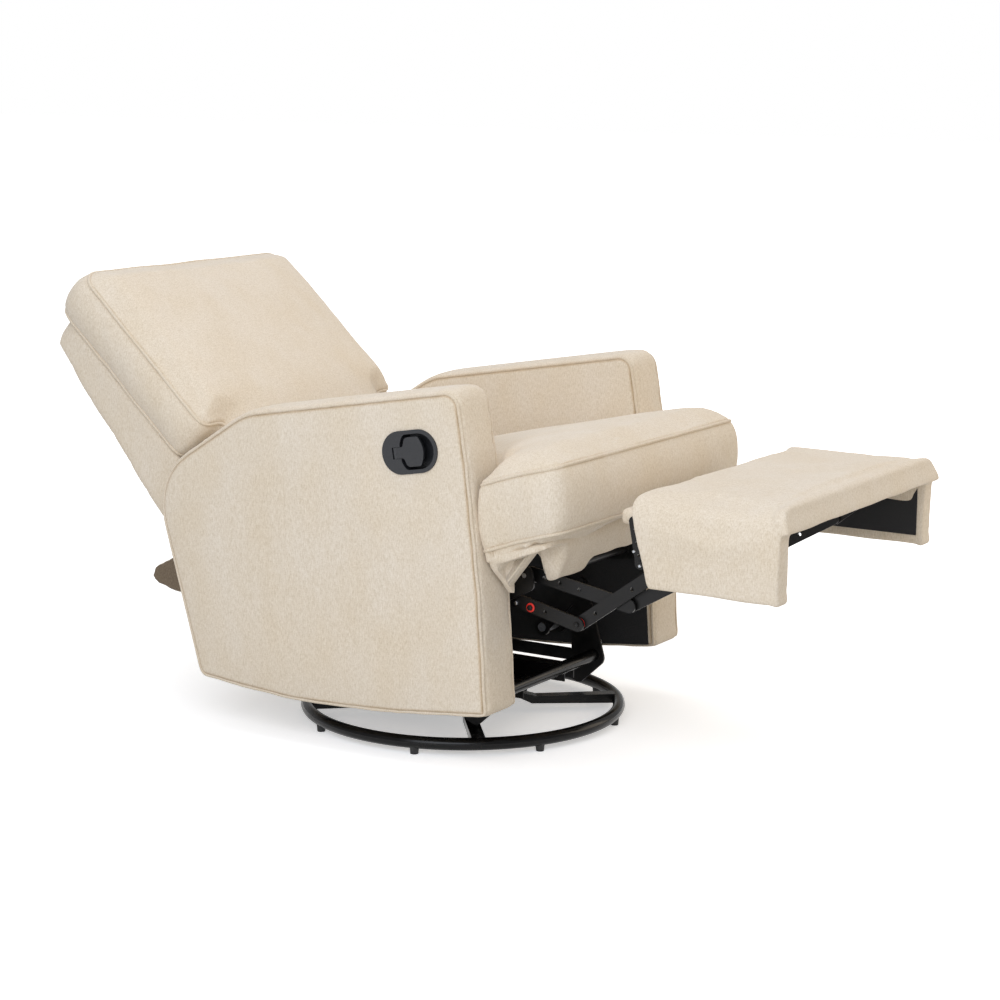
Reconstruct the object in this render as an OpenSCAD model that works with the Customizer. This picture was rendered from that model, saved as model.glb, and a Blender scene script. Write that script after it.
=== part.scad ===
// Swivel glider recliner, shown reclined with its footrest out.
// Z is up, the chair faces -Y, and the floor is at zero. The release handle is on the -X arm.
// The upholstered body is drawn upright in its own frame, then tilted back on the glide links.

/* [Body] */
// Width over both arms
overall_w = 736; // [660:1:820]
// Width of one arm
arm_w = 106; // [80:1:130]
// Arm length, front to rear
arm_len = 690; // [640:1:740]
// Arm height, bottom edge to front top
arm_h = 570; // [530:1:610]
// Height of the arm's bottom edge above the body frame's zero
arm_bottom = 88; // [70:1:110]
// Distance of the arm's front behind the body frame's zero
arm_front = -277; // [-290:1:-260]
// Backward tilt of the whole body on its glide links
body_tilt = 7; // [0:0.5:9]
// Height of the point that the body tilts about
tilt_z = 200; // [180:1:220]
// Corner radius at the arm's front top
arm_corner_r = 30; // [20:1:40]
// Depth of the seam rabbet along an edge
rabbet = 6; // [4:0.5:9]

/* [Seams] */
// Radius of the piping cord
piping_r = 2.9; // [2:0.1:3.5]
// Gap between soft pieces on different bodies
soft_gap = 2; // [1:0.5:4]

/* [Seat] */
// Seat cushion length, front to rear
seat_len = 630; // [600:1:650]
// Distance from the arms' outer faces in to the cushion's ears
ear_inset = 40; // [23:1:58]
// Length of the ears in front of the arms
ear_len = 161.5; // [140:0.5:162]
// Height of the boxing between the two seams
seat_box_h = 118; // [100:1:130]
// Rise of the crowned top
seat_crown = 26; // [10:1:34]
// Backward pitch of the seat
seat_pitch = 6; // [3:0.5:8]
// Front lower seam, distance along Y
seat_front_y = -448; // [-460:1:-435]
// Front lower seam, height
seat_front_z = 404; // [395:1:420]

/* [Back] */
// Recline pivot, distance along Y
back_pivot_y = 235; // [225:1:245]
// Recline pivot, height
back_pivot_z = 435; // [425:1:445]
// Slope of the back's front face from level
back_slope = 49.8; // [46:0.2:54]
// Distance of the pivot behind the front face
back_pivot_depth = 40; // [36:1:46]
// Distance from the arms' outer faces in to the upper back's sides
back_inset = 48; // [28:1:68]
// Length of the back above its pivot
back_len = 612; // [560:1:640]
// Thickness of the back cushion between seams
back_box_h = 90; // [70:1:100]
// Radius at which the upper back clears the arms
back_clear_r = 204; // [198:1:215]
// Length of the outer back above its pivot
shell_len = 560; // [520:1:590]
// Thickness of the outer back at its top
shell_top_t = 50; // [36:1:55]
// Thickness of the outer back at its bottom
shell_foot_t = 119; // [90:1:122]

/* [Footrest] */
// Footrest length from its rear edge to its lip
foot_len = 290; // [270:1:300]
// Distance from the arms' outer faces in to the footrest's sides
foot_inset = 40; // [23:1:58]
// Height of the footrest from top to the flaps' lower edge
foot_flap_h = 150; // [130:1:160]
// Thickness of the padded board
foot_t = 36; // [30:1:40]
// Thickness of a padded side flap
flap_t = 38; // [30:1:44]
// Rear upper edge of the footrest, distance along Y
foot_rear_y = -590; // [-600:1:-580]
// Rear upper edge of the footrest, height
foot_rear_z = 465; // [455:1:475]
// Downward slope of the footrest in the body frame
foot_slope = 7; // [4:0.5:10]
// Length of the small middle pad
mid_len = 80; // [70:1:84]
// Thickness of the small middle pad
mid_t = 30; // [24:1:32]

/* [Footrest linkage] */
// Front link pivot on the body, along Y
pivot_a_y = -305; // [-310:1:-300]
// Front link pivot on the body, height
pivot_a_z = 317; // [312:1:320]
// Drive link pivot on the body, along Y
pivot_c_y = -233; // [-238:1:-228]
// Drive link pivot on the body, height
pivot_c_z = 287; // [283:1:291]
// Front link's outer end, along Y
end_a_y = -501; // [-506:1:-496]
// Front link's outer end, height
end_a_z = 257; // [253:1:261]
// Foot of the ottoman link, along Y
end_c_y = -401; // [-405:1:-397]
// Foot of the ottoman link, height
end_c_z = 226; // [222:1:230]
// Ottoman link's pivot on the footrest bracket, along Y
pivot_b_y = -673; // [-678:1:-668]
// Ottoman link's pivot on the footrest bracket, height
pivot_b_z = 376; // [372:1:380]
// Tie link's pivot on the footrest bracket, along Y
pivot_d_y = -701; // [-706:1:-696]
// Tie link's pivot on the footrest bracket, height
pivot_d_z = 342; // [338:1:346]
// Half width of a link
link_r = 12.5; // [10:0.5:13]
// Thickness of a link
link_t = 5; // [4:0.5:5.5]
// Distance between neighbouring link planes
plane_pitch = 8; // [7.5:0.5:9]
// Distance from the arms' inner faces in to the innermost link plane
plane_inset = 56; // [54:0.5:58]
// Radius of a link rivet
rivet_r = 4.5; // [4:0.25:5.5]

/* [Glider] */
// Length of a glide link between pivots
glide_len = 130; // [120:1:140]
// Swing of the front glide link at rest
glide_front_deg = 43; // [38:1:46]
// Swing of the rear glide link at rest
glide_rear_deg = -4.8; // [-8:0.2:-2]
// Front tower pivot, distance along Y
tower_front_y = -150; // [-160:1:-145]
// Rear tower pivot, distance along Y
tower_rear_y = 230; // [225:1:240]
// Height of the tower pivots
tower_z = 235; // [230:1:240]
// Radius of a glide axle
axle_r = 9; // [7:0.5:11]

/* [Base] */
// Distance of the swivel axis behind the middle of the reclined chair's length
hub_y = 48; // [38:1:57]
// Radius of the ring's centre line
ring_r = 306; // [285:1:325]
// Radius of the ring's tube
tube_r = 12; // [10:0.5:14]
// Height of a floor glide
glide_h = 10; // [6:1:14]
// Radius of the hub plate
hub_r = 96; // [85:1:105]
// Turn of the base under the chair
base_turn = -7; // [-45:1:45]
// Radius of the cross tubes
cross_r = 12.5; // [11:0.5:14]
// Distance from the arms' inner faces in to the towers
tower_inset = 73; // [72:1:78]

/* [Handle] */
// Length of the handle housing
bezel_len = 118; // [105:1:125]
// Height of the handle housing
bezel_h = 78; // [68:1:84]
// Handle housing centre, distance along Y
bezel_y = -166; // [-180:1:-150]
// Handle housing centre, height
bezel_z = 561; // [550:1:572]

/* [Hidden] */
$fn = 48;

// clearances and small shared sizes
run_fit = 0.05;
face_gap = 0.3;
cut = 4;
arc_n = 5;
half_w = overall_w / 2;
inner_x = half_w - arm_w;
ear_w = overall_w - 2 * ear_inset;
back_w = overall_w - 2 * back_inset;
foot_w = overall_w - 2 * foot_inset;
plane_x = inner_x - plane_inset;
tower_x = inner_x - tower_inset;

// Section: helpers
function unit(v) = v / norm(v);
function turn(v, a) = [v[0] * cos(a) - v[1] * sin(a), v[0] * sin(a) + v[1] * cos(a)];
// corner b between a and c, filleted to radius r
function corner(a, b, c, r) =
    let (u = unit(a - b), v = unit(c - b), half = acos(u * v) / 2,
         cen = b + unit(u + v) * (r / sin(half)),
         p = b + u * (r / tan(half)) - cen, q = b + v * (r / tan(half)) - cen,
         a0 = atan2(p[1], p[0]), da = (atan2(q[1], q[0]) - a0 + 540) % 360 - 180)
    [for (i = [0 : arc_n]) cen + r * [cos(a0 + da * i / arc_n), sin(a0 + da * i / arc_n)]];
// polygon with a fillet radius at each corner; a radius of 0 leaves it sharp
function rounded(pts, rs) = let (n = len(pts))
    [for (i = [0 : n - 1]) each (rs[i] > 0
        ? corner(pts[(i + n - 1) % n], pts[i], pts[(i + 1) % n], rs[i]) : [pts[i]])];
// a clockwise polygon's corners moved inward by d, or a counter-clockwise one's outward
function inset(pts, d) = let (n = len(pts))
    [for (i = [0 : n - 1]) let (
        u = unit(pts[i] - pts[(i + n - 1) % n]), v = unit(pts[(i + 1) % n] - pts[i]),
        m = [u[1], -u[0]], k = [v[1], -v[0]]) pts[i] + (m + k) * d / (1 + m * k)];
// world point to the upright body frame
function local(p) = let (dz = p[1] - tilt_z)
    [p[0] * cos(body_tilt) - dz * sin(body_tilt),
     tilt_z + p[0] * sin(body_tilt) + dz * cos(body_tilt)];

// from the swivel axis to the part's origin
module floor_frame() {
    translate([0, hub_y, 0]) children();
}
module body_frame() {
    floor_frame() translate([0, 0, tilt_z]) rotate([-body_tilt, 0, 0]) translate([0, 0, -tilt_z])
        children();
}
// extrudes a (Y, Z) outline along X
module slab(x, t) {
    translate([x, 0, 0]) rotate([90, 0, 90]) linear_extrude(t) children();
}
module both() {
    children();
    mirror([1, 0, 0]) children();
}
module bar(a, b, r) {
    n = turn(unit(b - a), 90) * r;
    translate(a) circle(r);
    translate(b) circle(r);
    polygon([a + n, b + n, b - n, a - n]);
}
module dot(p, r) {
    translate(p) circle(r);
}
// a rod along X between two distances
module rod(p, x0, x1, r) {
    slab(x0, x1 - x0) dot(p, r);
}
// a round cord along a closed path of 3-D points that lies across the direction given
module loop_cord(path, r, sides, across) {
    n = len(path);
    rings = [for (i = [0 : n - 1]) let (
        t = unit(path[(i + 1) % n] - path[(i + n - 1) % n]),
        side = unit(cross(t, across)), up = cross(t, side))
        [for (k = [0 : sides - 1]) let (a = 360 * k / sides)
            path[i] + r * (side * cos(a) + up * sin(a))]];
    polyhedron([for (ring = rings) each ring],
        [for (i = [0 : n - 1], k = [0 : sides - 1]) let (
            a = i * sides, b = ((i + 1) % n) * sides, l = (k + 1) % sides)
            each [[a + k, b + k, b + l], [a + k, b + l, a + l]]]);
}
// a cord loop in a plane of constant X
module side_cord(x, pts, r) {
    loop_cord([for (p = pts) [x, p[0], p[1]]], r, 6, [1, 0, 0]);
}

// Section: cushions
// A boxed cushion on an outline in (x, y), its seams at heights 0 and h. Stations list
// [height, inset]; crowns close the top and bottom toward the centre point.
groove = piping_r + 0.5;
crown_shares = [0.94, 0.8, 0.6, 0.35];
function seam(z) = [[z - groove, 0], [z - groove + 0.5, -groove], [z + groove - 0.5, -groove],
    [z + groove, 0]];
function box_stations(h) = concat(seam(0), [[h * 0.3, 4], [h * 0.7, 4]], seam(h));
function ring3(outline, grow, z, lean, droop) = let (wide = inset(outline, grow))
    [for (i = [0 : len(outline) - 1])
        [wide[i][0], wide[i][1] - lean * z, z - sag(outline[i], droop)]];
// how far the seams drop toward the back of the seat's ears
sag_fade = 60;
function sag(p, droop) = droop
    * max(0, min(1, (abs(p[0]) - seat_neck_w / 2 + sag_fade) / sag_fade))
    * (p[1] < ear_len ? max(0, p[1] / ear_len) : max(0, 1 - (p[1] - ear_len) / sag_fade));
module cushion(outline, c, h, top, bottom, lean, droop) {
    n = len(outline);
    st = box_stations(h);
    low = [for (s = crown_shares) let (k = crown_shares[len(crown_shares) - 1])
        [for (p = outline) let (q = c + (p - c) * s)
            [q[0], q[1], -groove - bottom * (1 - pow(s, 3)) - sag(p, droop) * s]]];
    high = [for (s = crown_shares)
        [for (p = outline) let (q = c + (p - c) * s)
            [q[0], q[1] - lean * h, h + groove + top * (1 - pow(s, 3)) - sag(p, droop) * s]]];
    rings = concat([for (i = [len(low) - 1 : -1 : 0]) low[i]],
        [for (q = st) ring3(outline, q[1], q[0], lean, droop)], high);
    m = len(rings);
    pts = concat([for (r = rings) each r], [[c[0], c[1], -groove - bottom],
        [c[0], c[1] - lean * h, h + groove + top]]);
    polyhedron(pts, concat(
        [for (i = [0 : m - 2], k = [0 : n - 1]) let (a = i * n, b = (i + 1) * n, l = (k + 1) % n)
            each [[a + k, b + k, b + l], [a + k, b + l, a + l]]],
        [for (k = [0 : n - 1]) [m * n, k, (k + 1) % n]],
        [for (k = [0 : n - 1]) [m * n + 1, (m - 1) * n + (k + 1) % n, (m - 1) * n + k]]));
}
module seam_cord(outline, z, lean, droop) {
    loop_cord(ring3(outline, -face_gap, z, lean, droop), piping_r - 0.2, 6, [0, 0, 1]);
}

// Section: base, on the floor
ring_z = glide_h + tube_r;
spoke_w = 26;
spoke_t = 6;
spoke_n = 4;
glide_n = 8;
floor_glide_r = 9;
hub_z = 44;
race_h = 6;
ball_r = 4;
race_r = 74;
king_r = 8;
plate_z = hub_z + spoke_t + 2 * race_h + ball_r;

module ring_tube(r) {
    translate([0, 0, ring_z]) rotate_extrude($fn = 96) translate([ring_r, 0]) circle(r);
}
module base_ring() {
    color("black") floor_frame() ring_tube(tube_r);
}
// a spoke's side, from under the hub plate to a saddle against the ring's tube
module spoke_side() {
    seat = tube_r + face_gap;
    polygon(concat([[hub_r * 0.8, hub_z + 1], [hub_r * 0.8, hub_z + spoke_t - 1],
        [hub_r * 1.5, ring_z + tube_r * 0.8]],
        [for (a = [115 : 10 : 215]) [ring_r + seat * cos(a), ring_z + seat * sin(a)]],
        [[hub_r * 1.4, ring_z - tube_r * 0.4]]));
}
module base_spider() {
    color("dimgray") floor_frame() difference() {
        union() {
            translate([0, 0, hub_z]) linear_extrude(spoke_t) difference() {
                union() {
                    circle(hub_r);
                    for (i = [0 : spoke_n - 1]) rotate(base_turn + 45 + i * 360 / spoke_n)
                        polygon([[hub_r * 0.5, -spoke_w * 1.5], [hub_r * 1.3, -spoke_w * 0.6],
                            [hub_r * 1.3, spoke_w * 0.6], [hub_r * 0.5, spoke_w * 1.5]]);
                }
                circle(king_r);
            }
            for (i = [0 : spoke_n - 1]) rotate([0, 0, base_turn + 45 + i * 360 / spoke_n])
                translate([0, spoke_w / 2, 0]) rotate([90, 0, 0]) linear_extrude(spoke_w)
                    spoke_side();
        }
    }
}
module floor_glides() {
    color("gray") floor_frame() for (i = [0 : glide_n - 1]) difference() {
        rotate([0, 0, base_turn + (i + 0.5) * 360 / glide_n]) translate([ring_r, 0, 0])
            cylinder(r1 = floor_glide_r * 0.85, r2 = floor_glide_r, h = glide_h + tube_r * 0.4);
        ring_tube(tube_r);
    }
}
module race(z) {
    translate([0, 0, z]) difference() {
        cylinder(r = race_r + ball_r * 2, h = race_h);
        translate([0, 0, -cut]) cylinder(r = race_r - ball_r * 2, h = race_h + 2 * cut);
    }
}
module lower_race() {
    color("silver") floor_frame() difference() {
        race(hub_z + spoke_t);
        ball_track(ball_r + run_fit);
    }
}
module ball_track(r) {
    translate([0, 0, ball_z]) rotate_extrude() translate([race_r, 0]) circle(r);
}
ball_z = hub_z + spoke_t + race_h + ball_r / 2;
ball_n = 20;
module bearing_balls() {
    color("white") floor_frame() for (i = [0 : ball_n - 1]) rotate([0, 0, i * 360 / ball_n])
        translate([race_r, 0, ball_z]) sphere(ball_r, $fn = 24);
}
module king_bolt() {
    head_h = 7;
    color("silver") floor_frame() {
        translate([0, 0, hub_z]) cylinder(r = king_r, h = plate_z - hub_z + swivel_t + face_gap);
        translate([0, 0, hub_z - head_h]) cylinder(r = king_r * 1.6, h = head_h);
        translate([0, 0, plate_z + swivel_t + face_gap]) cylinder(r = king_r * 1.5, h = head_h);
    }
}

// Section: swivel frame
swivel_t = 5;
swivel_w = 250;
swivel_step = 26;
rail_w = 38;
rail_h = 30;
rail_x = 76;
rail_wall = 3;
tower_t = 5;
// the sill that joins the front and rear tower of each side
sill_h = 24;
sill_drop = 17;
cross_z = plate_z + swivel_t + rail_h;
cross_front_y = tower_front_y - 35;
cross_rear_y = tower_rear_y - 30;

module swivel_plate() {
    h = swivel_w / 2;
    color("dimgray") floor_frame() difference() {
        union() {
            race(plate_z - race_h);
            translate([0, 0, plate_z]) linear_extrude(swivel_t)
                polygon([[-h, -h + swivel_step], [-h + swivel_step, -h], [h - swivel_step, -h],
                    [h, -h + swivel_step], [h, h - swivel_step], [h - swivel_step, h],
                    [-h + swivel_step, h], [-h, h - swivel_step]]);
        }
        ball_track(ball_r + run_fit);
        translate([0, 0, plate_z - race_h - cut])
            cylinder(r = king_r + run_fit, h = race_h + swivel_t + 2 * cut);
    }
}
module frame_rails() {
    z = plate_z + swivel_t;
    color("dimgray") floor_frame() both() difference() {
        translate([rail_x, cross_front_y, z]) cube([rail_w, cross_rear_y - cross_front_y, rail_h]);
        translate([rail_x + rail_wall, cross_front_y - cut, z - cut])
            cube([rail_w - 2 * rail_wall, cross_rear_y - cross_front_y + 2 * cut,
                rail_h - rail_wall + cut]);
        rod([cross_front_y, cross_z], 0, half_w, cross_r);
        rod([cross_rear_y, cross_z], 0, half_w, cross_r);
    }
}
module front_cross_tube() {
    color("black") floor_frame() rod([cross_front_y, cross_z], -tower_x, tower_x, cross_r);
}
module rear_cross_tube() {
    color("black") floor_frame() rod([cross_rear_y, cross_z], -tower_x, tower_x, cross_r);
}
module tower(cy, py, back, reach) {
    d = sign(reach);
    pts = [[cy - d * 26, cross_z - 10], [py - d * 22, tower_z - 6], [py - d * 10, tower_z + 20],
        [py + d * 12, tower_z + 20], [py + back * d, tower_z - 24], [py + back * d, cross_z - 2],
        [py + d * 28, cross_z - 48], [py - d * 4, cross_z - 62]];
    polygon(rounded(pts, [18, 14, 12, 12, 10, 8, 14, 16]));
}
module glide_towers() {
    color("dimgray") floor_frame() both() difference() {
        union() {
            slab(tower_x, tower_t) tower(cross_front_y, tower_front_y, 15, 1);
            slab(tower_x, tower_t) rear_tower();
            slab(tower_x, tower_t) translate([cross_front_y, cross_z - sill_drop])
                square([cross_rear_y - cross_front_y, sill_h]);
        }
        rod([tower_front_y, tower_z], tower_x - cut, tower_x + tower_t + cut, axle_r);
        rod([tower_rear_y, tower_z], tower_x - cut, tower_x + tower_t + cut, axle_r);
    }
}
module rear_tower() {
    py = tower_rear_y;
    polygon(rounded([[cross_rear_y - 26, cross_z - 24], [cross_rear_y - 24, cross_z + 20],
        [py - 22, tower_z - 10], [py - 18, tower_z + 20], [py + 20, tower_z + 20],
        [py + 20, tower_z - 20], [cross_rear_y + 28, cross_z + 10],
        [cross_rear_y + 24, cross_z - 24]], [14, 20, 20, 14, 14, 16, 16, 14]));
}
bolt_r = 9;
bolt_h = 7;
module tower_bolts() {
    color("silver") floor_frame() both() {
        for (p = [[cross_front_y, cross_z], [cross_front_y - 6, cross_z + 26],
                [cross_rear_y, cross_z], [cross_rear_y, cross_z + 26]])
            slab(tower_x + tower_t, bolt_h - 4.5) dot(p, bolt_r);
        for (y = [tower_front_y, tower_rear_y])
            rod([y, tower_z], tower_x - bolt_h, link_x + tower_t + 2, axle_r - run_fit);
    }
}

// Section: glide links
link_x = tower_x + tower_t + plane_pitch - link_t;
eye_r = 17;
front_axle = [tower_front_y, tower_z] + glide_len * [sin(glide_front_deg), -cos(glide_front_deg)];
rear_axle = [tower_rear_y, tower_z] + glide_len * [sin(glide_rear_deg), -cos(glide_rear_deg)];
module glide_link(top, low) {
    both() difference() {
        union() {
            slab(link_x, tower_t) bar(top, low, eye_r * 0.8);
            slab(link_x, tower_t) dot(top, eye_r);
            slab(link_x, tower_t) dot(low, eye_r);
        }
        rod(top, link_x - cut, link_x + tower_t + cut, axle_r);
        rod(low, link_x - cut, link_x + tower_t + cut, axle_r);
    }
}
module front_glide_links() {
    color("dimgray") floor_frame() glide_link([tower_front_y, tower_z], front_axle);
}
// the lower eyes of the rear pair are the linkage's open pivots
module rear_glide_links() {
    color("dimgray") floor_frame() both() difference() {
        union() {
            slab(link_x, tower_t) bar([tower_rear_y, tower_z], rear_axle, eye_r * 0.8);
            slab(link_x, tower_t) dot([tower_rear_y, tower_z], eye_r);
            slab(link_x, tower_t) dot(rear_axle, eye_r);
        }
        rod([tower_rear_y, tower_z], link_x - cut, link_x + tower_t + cut, axle_r);
    }
}

// Section: chair body: steel
// link planes from the inside out: middle bracket, tie, front, ottoman, drive, side plate
mid_x = plane_x;
tie_x = plane_x + plane_pitch;
front_x = plane_x + 2 * plane_pitch;
ottoman_x = plane_x + 3 * plane_pitch;
drive_x = plane_x + 4 * plane_pitch;
side_x = plane_x + 5 * plane_pitch;
lining_t = 2;
pa = [pivot_a_y, pivot_a_z];
pc = [pivot_c_y, pivot_c_z];
ea = [end_a_y, end_a_z];
ec = [end_c_y, end_c_z];
pb = [pivot_b_y, pivot_b_z];
pd = [pivot_d_y, pivot_d_z];
pk = [back_pivot_y, back_pivot_z];
// where the front and ottoman links cross
function meet(a, b, c, d) = let (u = b - a, v = d - c)
    a + u * ((c[0] - a[0]) * v[1] - (c[1] - a[1]) * v[0]) / (u[0] * v[1] - u[1] * v[0]);
pm = meet(pa, ea, ec, pb);
link_dir = unit(pb - ec);
mid_along = 120;
mid_off = 8;
pp = pm + link_dir * mid_along + turn(link_dir, -90) * mid_off;
pin_head = 2;

module side_plate_outline() {
    fa = local(front_axle);
    ra = local(rear_axle);
    lip = 18;
    low = -46;
    high = 8;
    tab = 44;
    front = pa[0] - lip;
    polygon(rounded([[front, pa[1] + lip], [pc[0] + 40, pc[1] + 40], [pk[0] - 36, pk[1] - 112],
        [pk[0] - 22, pk[1] + lip], [pk[0] + 22, pk[1] + lip],
        [pk[0] + 34, rear_rail_z + tab], [rear_rail_y, rear_rail_z + tab],
        [rear_rail_y, rear_rail_z + lip], [pk[0] + 34, rear_rail_z],
        [ra[0] + 22, ra[1] - 20], [ra[0] - 22, ra[1] - 20], [ra[0] - 44, pc[1] - 26],
        [fa[0] + 52, pc[1] - 30], [fa[0] + 22, fa[1] - 20], [fa[0] - 22, fa[1] - 20],
        [fa[0] - 40, pc[1] - 26], [pc[0] - 14, pc[1] - 24], [front, pa[1] - lip * 1.4]],
        [14, 30, 20, 16, 16, 12, 0, 0, 12, 14, 14, 24, 24, 14, 14, 24, 20, 12]));
}
module side_plates() {
    hole_r = 7;
    slots = 6;
    color("dimgray") body_frame() both() difference() {
        slab(side_x, link_t) side_plate_outline();
        for (i = [0 : slots - 1]) rod([pc[0] + 62 + i * 58, pc[1] + 8 - i], side_x - cut,
            side_x + link_t + cut, hole_r);
        rod(pa, side_x - cut, side_x + link_t + cut, rivet_r);
        rod(pc, side_x - cut, side_x + link_t + cut, torque_r);
        rod(pk, side_x - cut, side_x + link_t + cut, rivet_r * 1.5 + run_fit);
    }
}
module glide_axles() {
    color("silver") body_frame() both() for (p = [local(front_axle), local(rear_axle)]) {
        inner = p == local(rear_axle) ? link_x + tower_t + face_gap : link_x - 1;
        rod(p, inner, side_x, axle_r - run_fit);
        rod(p, link_x + tower_t + 2, side_x, axle_r * 1.35);
    }
}
// pins that the side plates carry: the front links' pivots and the plate spacers
spacer_in = 31;
module linkage_pins() {
    color("silver") body_frame() both() {
        rod(pa, front_x - pin_head, side_x + link_t, rivet_r - run_fit);
        for (p = [spring_a, spring_b]) rod(p, spring_x + wire_r + face_gap, side_x, rivet_r);
        for (p = [pa + [spacer_in, -rivet_r], [pc[0] + 5 * spacer_in, pc[1]],
                [pk[0], pk[1] - 4 * spacer_in]])
            slab(side_x + link_t, inner_x - lining_t - side_x - link_t) dot(p, rivet_r * 1.6);
    }
}

// Section: chair body: seat
seat_n = [0, 1];
seat_neck_w = 2 * (inner_x - 6);
ear_r = 46;
neck_r = 12;
rear_r = 40;
seat_lean = 0.155;
// drop of the seams toward the back of each ear
ear_sag = 9;
// rise of the crowned underside
seat_belly = 5;
back_belly = 1;
seat_deck_t = 20;
rail_clear = 3;
function mirror_x(pts) = [for (i = [len(pts) - 1 : -1 : 0]) [-pts[i][0], pts[i][1]]];
seat_half = rounded([[0, 0], [ear_w / 2, 0], [ear_w / 2, ear_len], [seat_neck_w / 2, ear_len],
    [seat_neck_w / 2, seat_len], [0, seat_len]], [0, ear_r, 22, neck_r, rear_r, 0]);
// straight runs get points in between, so that the crown stays even
seat_right = [for (p = seat_half) if (p[0] > 0) p];
function dense(pts, step) = let (n = len(pts)) [for (i = [0 : n - 1])
    let (a = pts[i], b = pts[(i + 1) % n], k = max(1, ceil(norm(b - a) / step)))
    each [for (j = [0 : k - 1]) a + (b - a) * j / k]];
seat_outline = dense(concat(seat_right, mirror_x(seat_right)), 90);
seat_centre = [0, seat_len * 0.4];

module seat_frame_of_reference() {
    body_frame() translate([0, seat_front_y, seat_front_z]) rotate([-seat_pitch, 0, 0])
        children();
}
module seat_cushion() {
    color("wheat") seat_frame_of_reference()
        cushion(seat_outline, seat_centre, seat_box_h, seat_crown, seat_belly, seat_lean,
            ear_sag);
}
module seat_piping() {
    color("tan") seat_frame_of_reference() {
        seam_cord(seat_outline, 0, seat_lean, ear_sag);
        seam_cord(seat_outline, seat_box_h, seat_lean, ear_sag);
    }
}
// wooden frame under the cushion, with its top just below the cushion's lower crown
frame_top = -groove - seat_belly - rail_clear;
frame_wood_w = 46;
frame_front = 190;
frame_rear = 600;
frame_x = side_x - rail_clear;
module seat_frame() {
    color("burlywood") seat_frame_of_reference() translate([0, 0, frame_top - seat_deck_t])
        difference() {
            translate([-frame_x, frame_front, 0])
                cube([2 * frame_x, frame_rear - frame_front, seat_deck_t]);
            translate([-frame_x + frame_wood_w, frame_front + frame_wood_w, -cut])
                cube([2 * (frame_x - frame_wood_w), frame_rear - frame_front - 2 * frame_wood_w,
                    seat_deck_t + 2 * cut]);
        }
}
spring_n = 5;
spring_wire = 3.6;
spring_half = 22;
spring_loops = 12;
// a sinuous spring is a flat wire bent in half circles
module sinuous(len) {
    step = len / spring_loops;
    for (i = [0 : spring_loops - 1]) {
        s = i % 2 == 0 ? 1 : -1;
        y = (i + 0.5) * step;
        translate([s * (spring_half - step / 2), y]) intersection() {
            difference() {
                circle(step / 2 + spring_wire / 2, $fn = 24);
                circle(step / 2 - spring_wire / 2, $fn = 24);
            }
            translate([s > 0 ? 0 : -step, -step]) square([step, 2 * step]);
        }
        translate([s > 0 ? -spring_half + step / 2 : -spring_half + step / 2,
                y - step / 2 - spring_wire / 2])
            square([2 * spring_half - step, spring_wire]);
    }
    translate([-spring_half + step / 2, len - spring_wire / 2])
        square([2 * spring_half - step, spring_wire]);
}
module seat_springs() {
    run = frame_rear - frame_front - frame_wood_w * 2 + spring_wire;
    pitch = 2 * (frame_x - frame_wood_w) / spring_n;
    color("silver") seat_frame_of_reference() for (i = [0 : spring_n - 1])
        translate([(i - (spring_n - 1) / 2) * pitch, frame_front + frame_wood_w
                + spring_wire / 2, frame_top - seat_deck_t / 2])
            linear_extrude(spring_wire) sinuous(run - 2 * spring_wire);
}

// Fabric-covered front rail under the cushion, its lower edge raised over the linkage.
// Its outline follows the cushion's underside in (Y, Z).
rail_drop = 84;
rail_wall_t = 20;
rail_front = 31;
rail_lip = 35;
rail_lip_drop = 30;
rail_foot = 94;
rail_shelf_t = 18;
rail_shelf_drop = 22;
rail_soft_r = 6;
function rail_top(s) = groove + seat_belly + face_gap + ear_sag * s / ear_len;
function under_seat(s, d) = [seat_front_y, seat_front_z] + turn([s, -d], -seat_pitch);
module rail_profile(drop) {
    p0 = under_seat(rail_front, rail_top(rail_front));
    p1 = under_seat(ear_len - soft_gap, rail_top(ear_len));
    p2 = p1 - [0, rail_shelf_t];
    p3 = under_seat(rail_foot, rail_top(rail_foot) + rail_shelf_drop);
    p4 = under_seat(rail_foot, drop);
    p5 = under_seat(rail_foot - rail_wall_t, drop);
    p6 = under_seat(rail_lip, rail_lip_drop);
    polygon(rounded([p0, p1, p2, p3, p4, p5, p6],
        [rail_soft_r, 0, 0, rail_soft_r, rail_soft_r, rail_soft_r, rail_soft_r * 2]));
}
module front_rail() {
    raise = 22;
    side = 90;
    step = 5;
    color("wheat") body_frame() {
        difference() {
            slab(-inner_x, 2 * inner_x) rail_profile(rail_drop);
            // the raised middle of the lower edge
            translate([0, arm_front, 0]) rotate([90, 0, 0]) linear_extrude(arm_len)
                polygon([for (s = [-1, 1], e = [0 : 8]) let (i = s < 0 ? e : 8 - e,
                    x = inner_x - side + (i - 4) * step)
                    [s * -x, under_seat(rail_drop, rail_drop)[1] - cut - rail_wall_t
                        + (raise + cut + rail_wall_t) * (1 - cos(180 * min(1, (8 - i) / 8))) / 2]]);
        }
        both() wing();
    }
}
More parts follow.
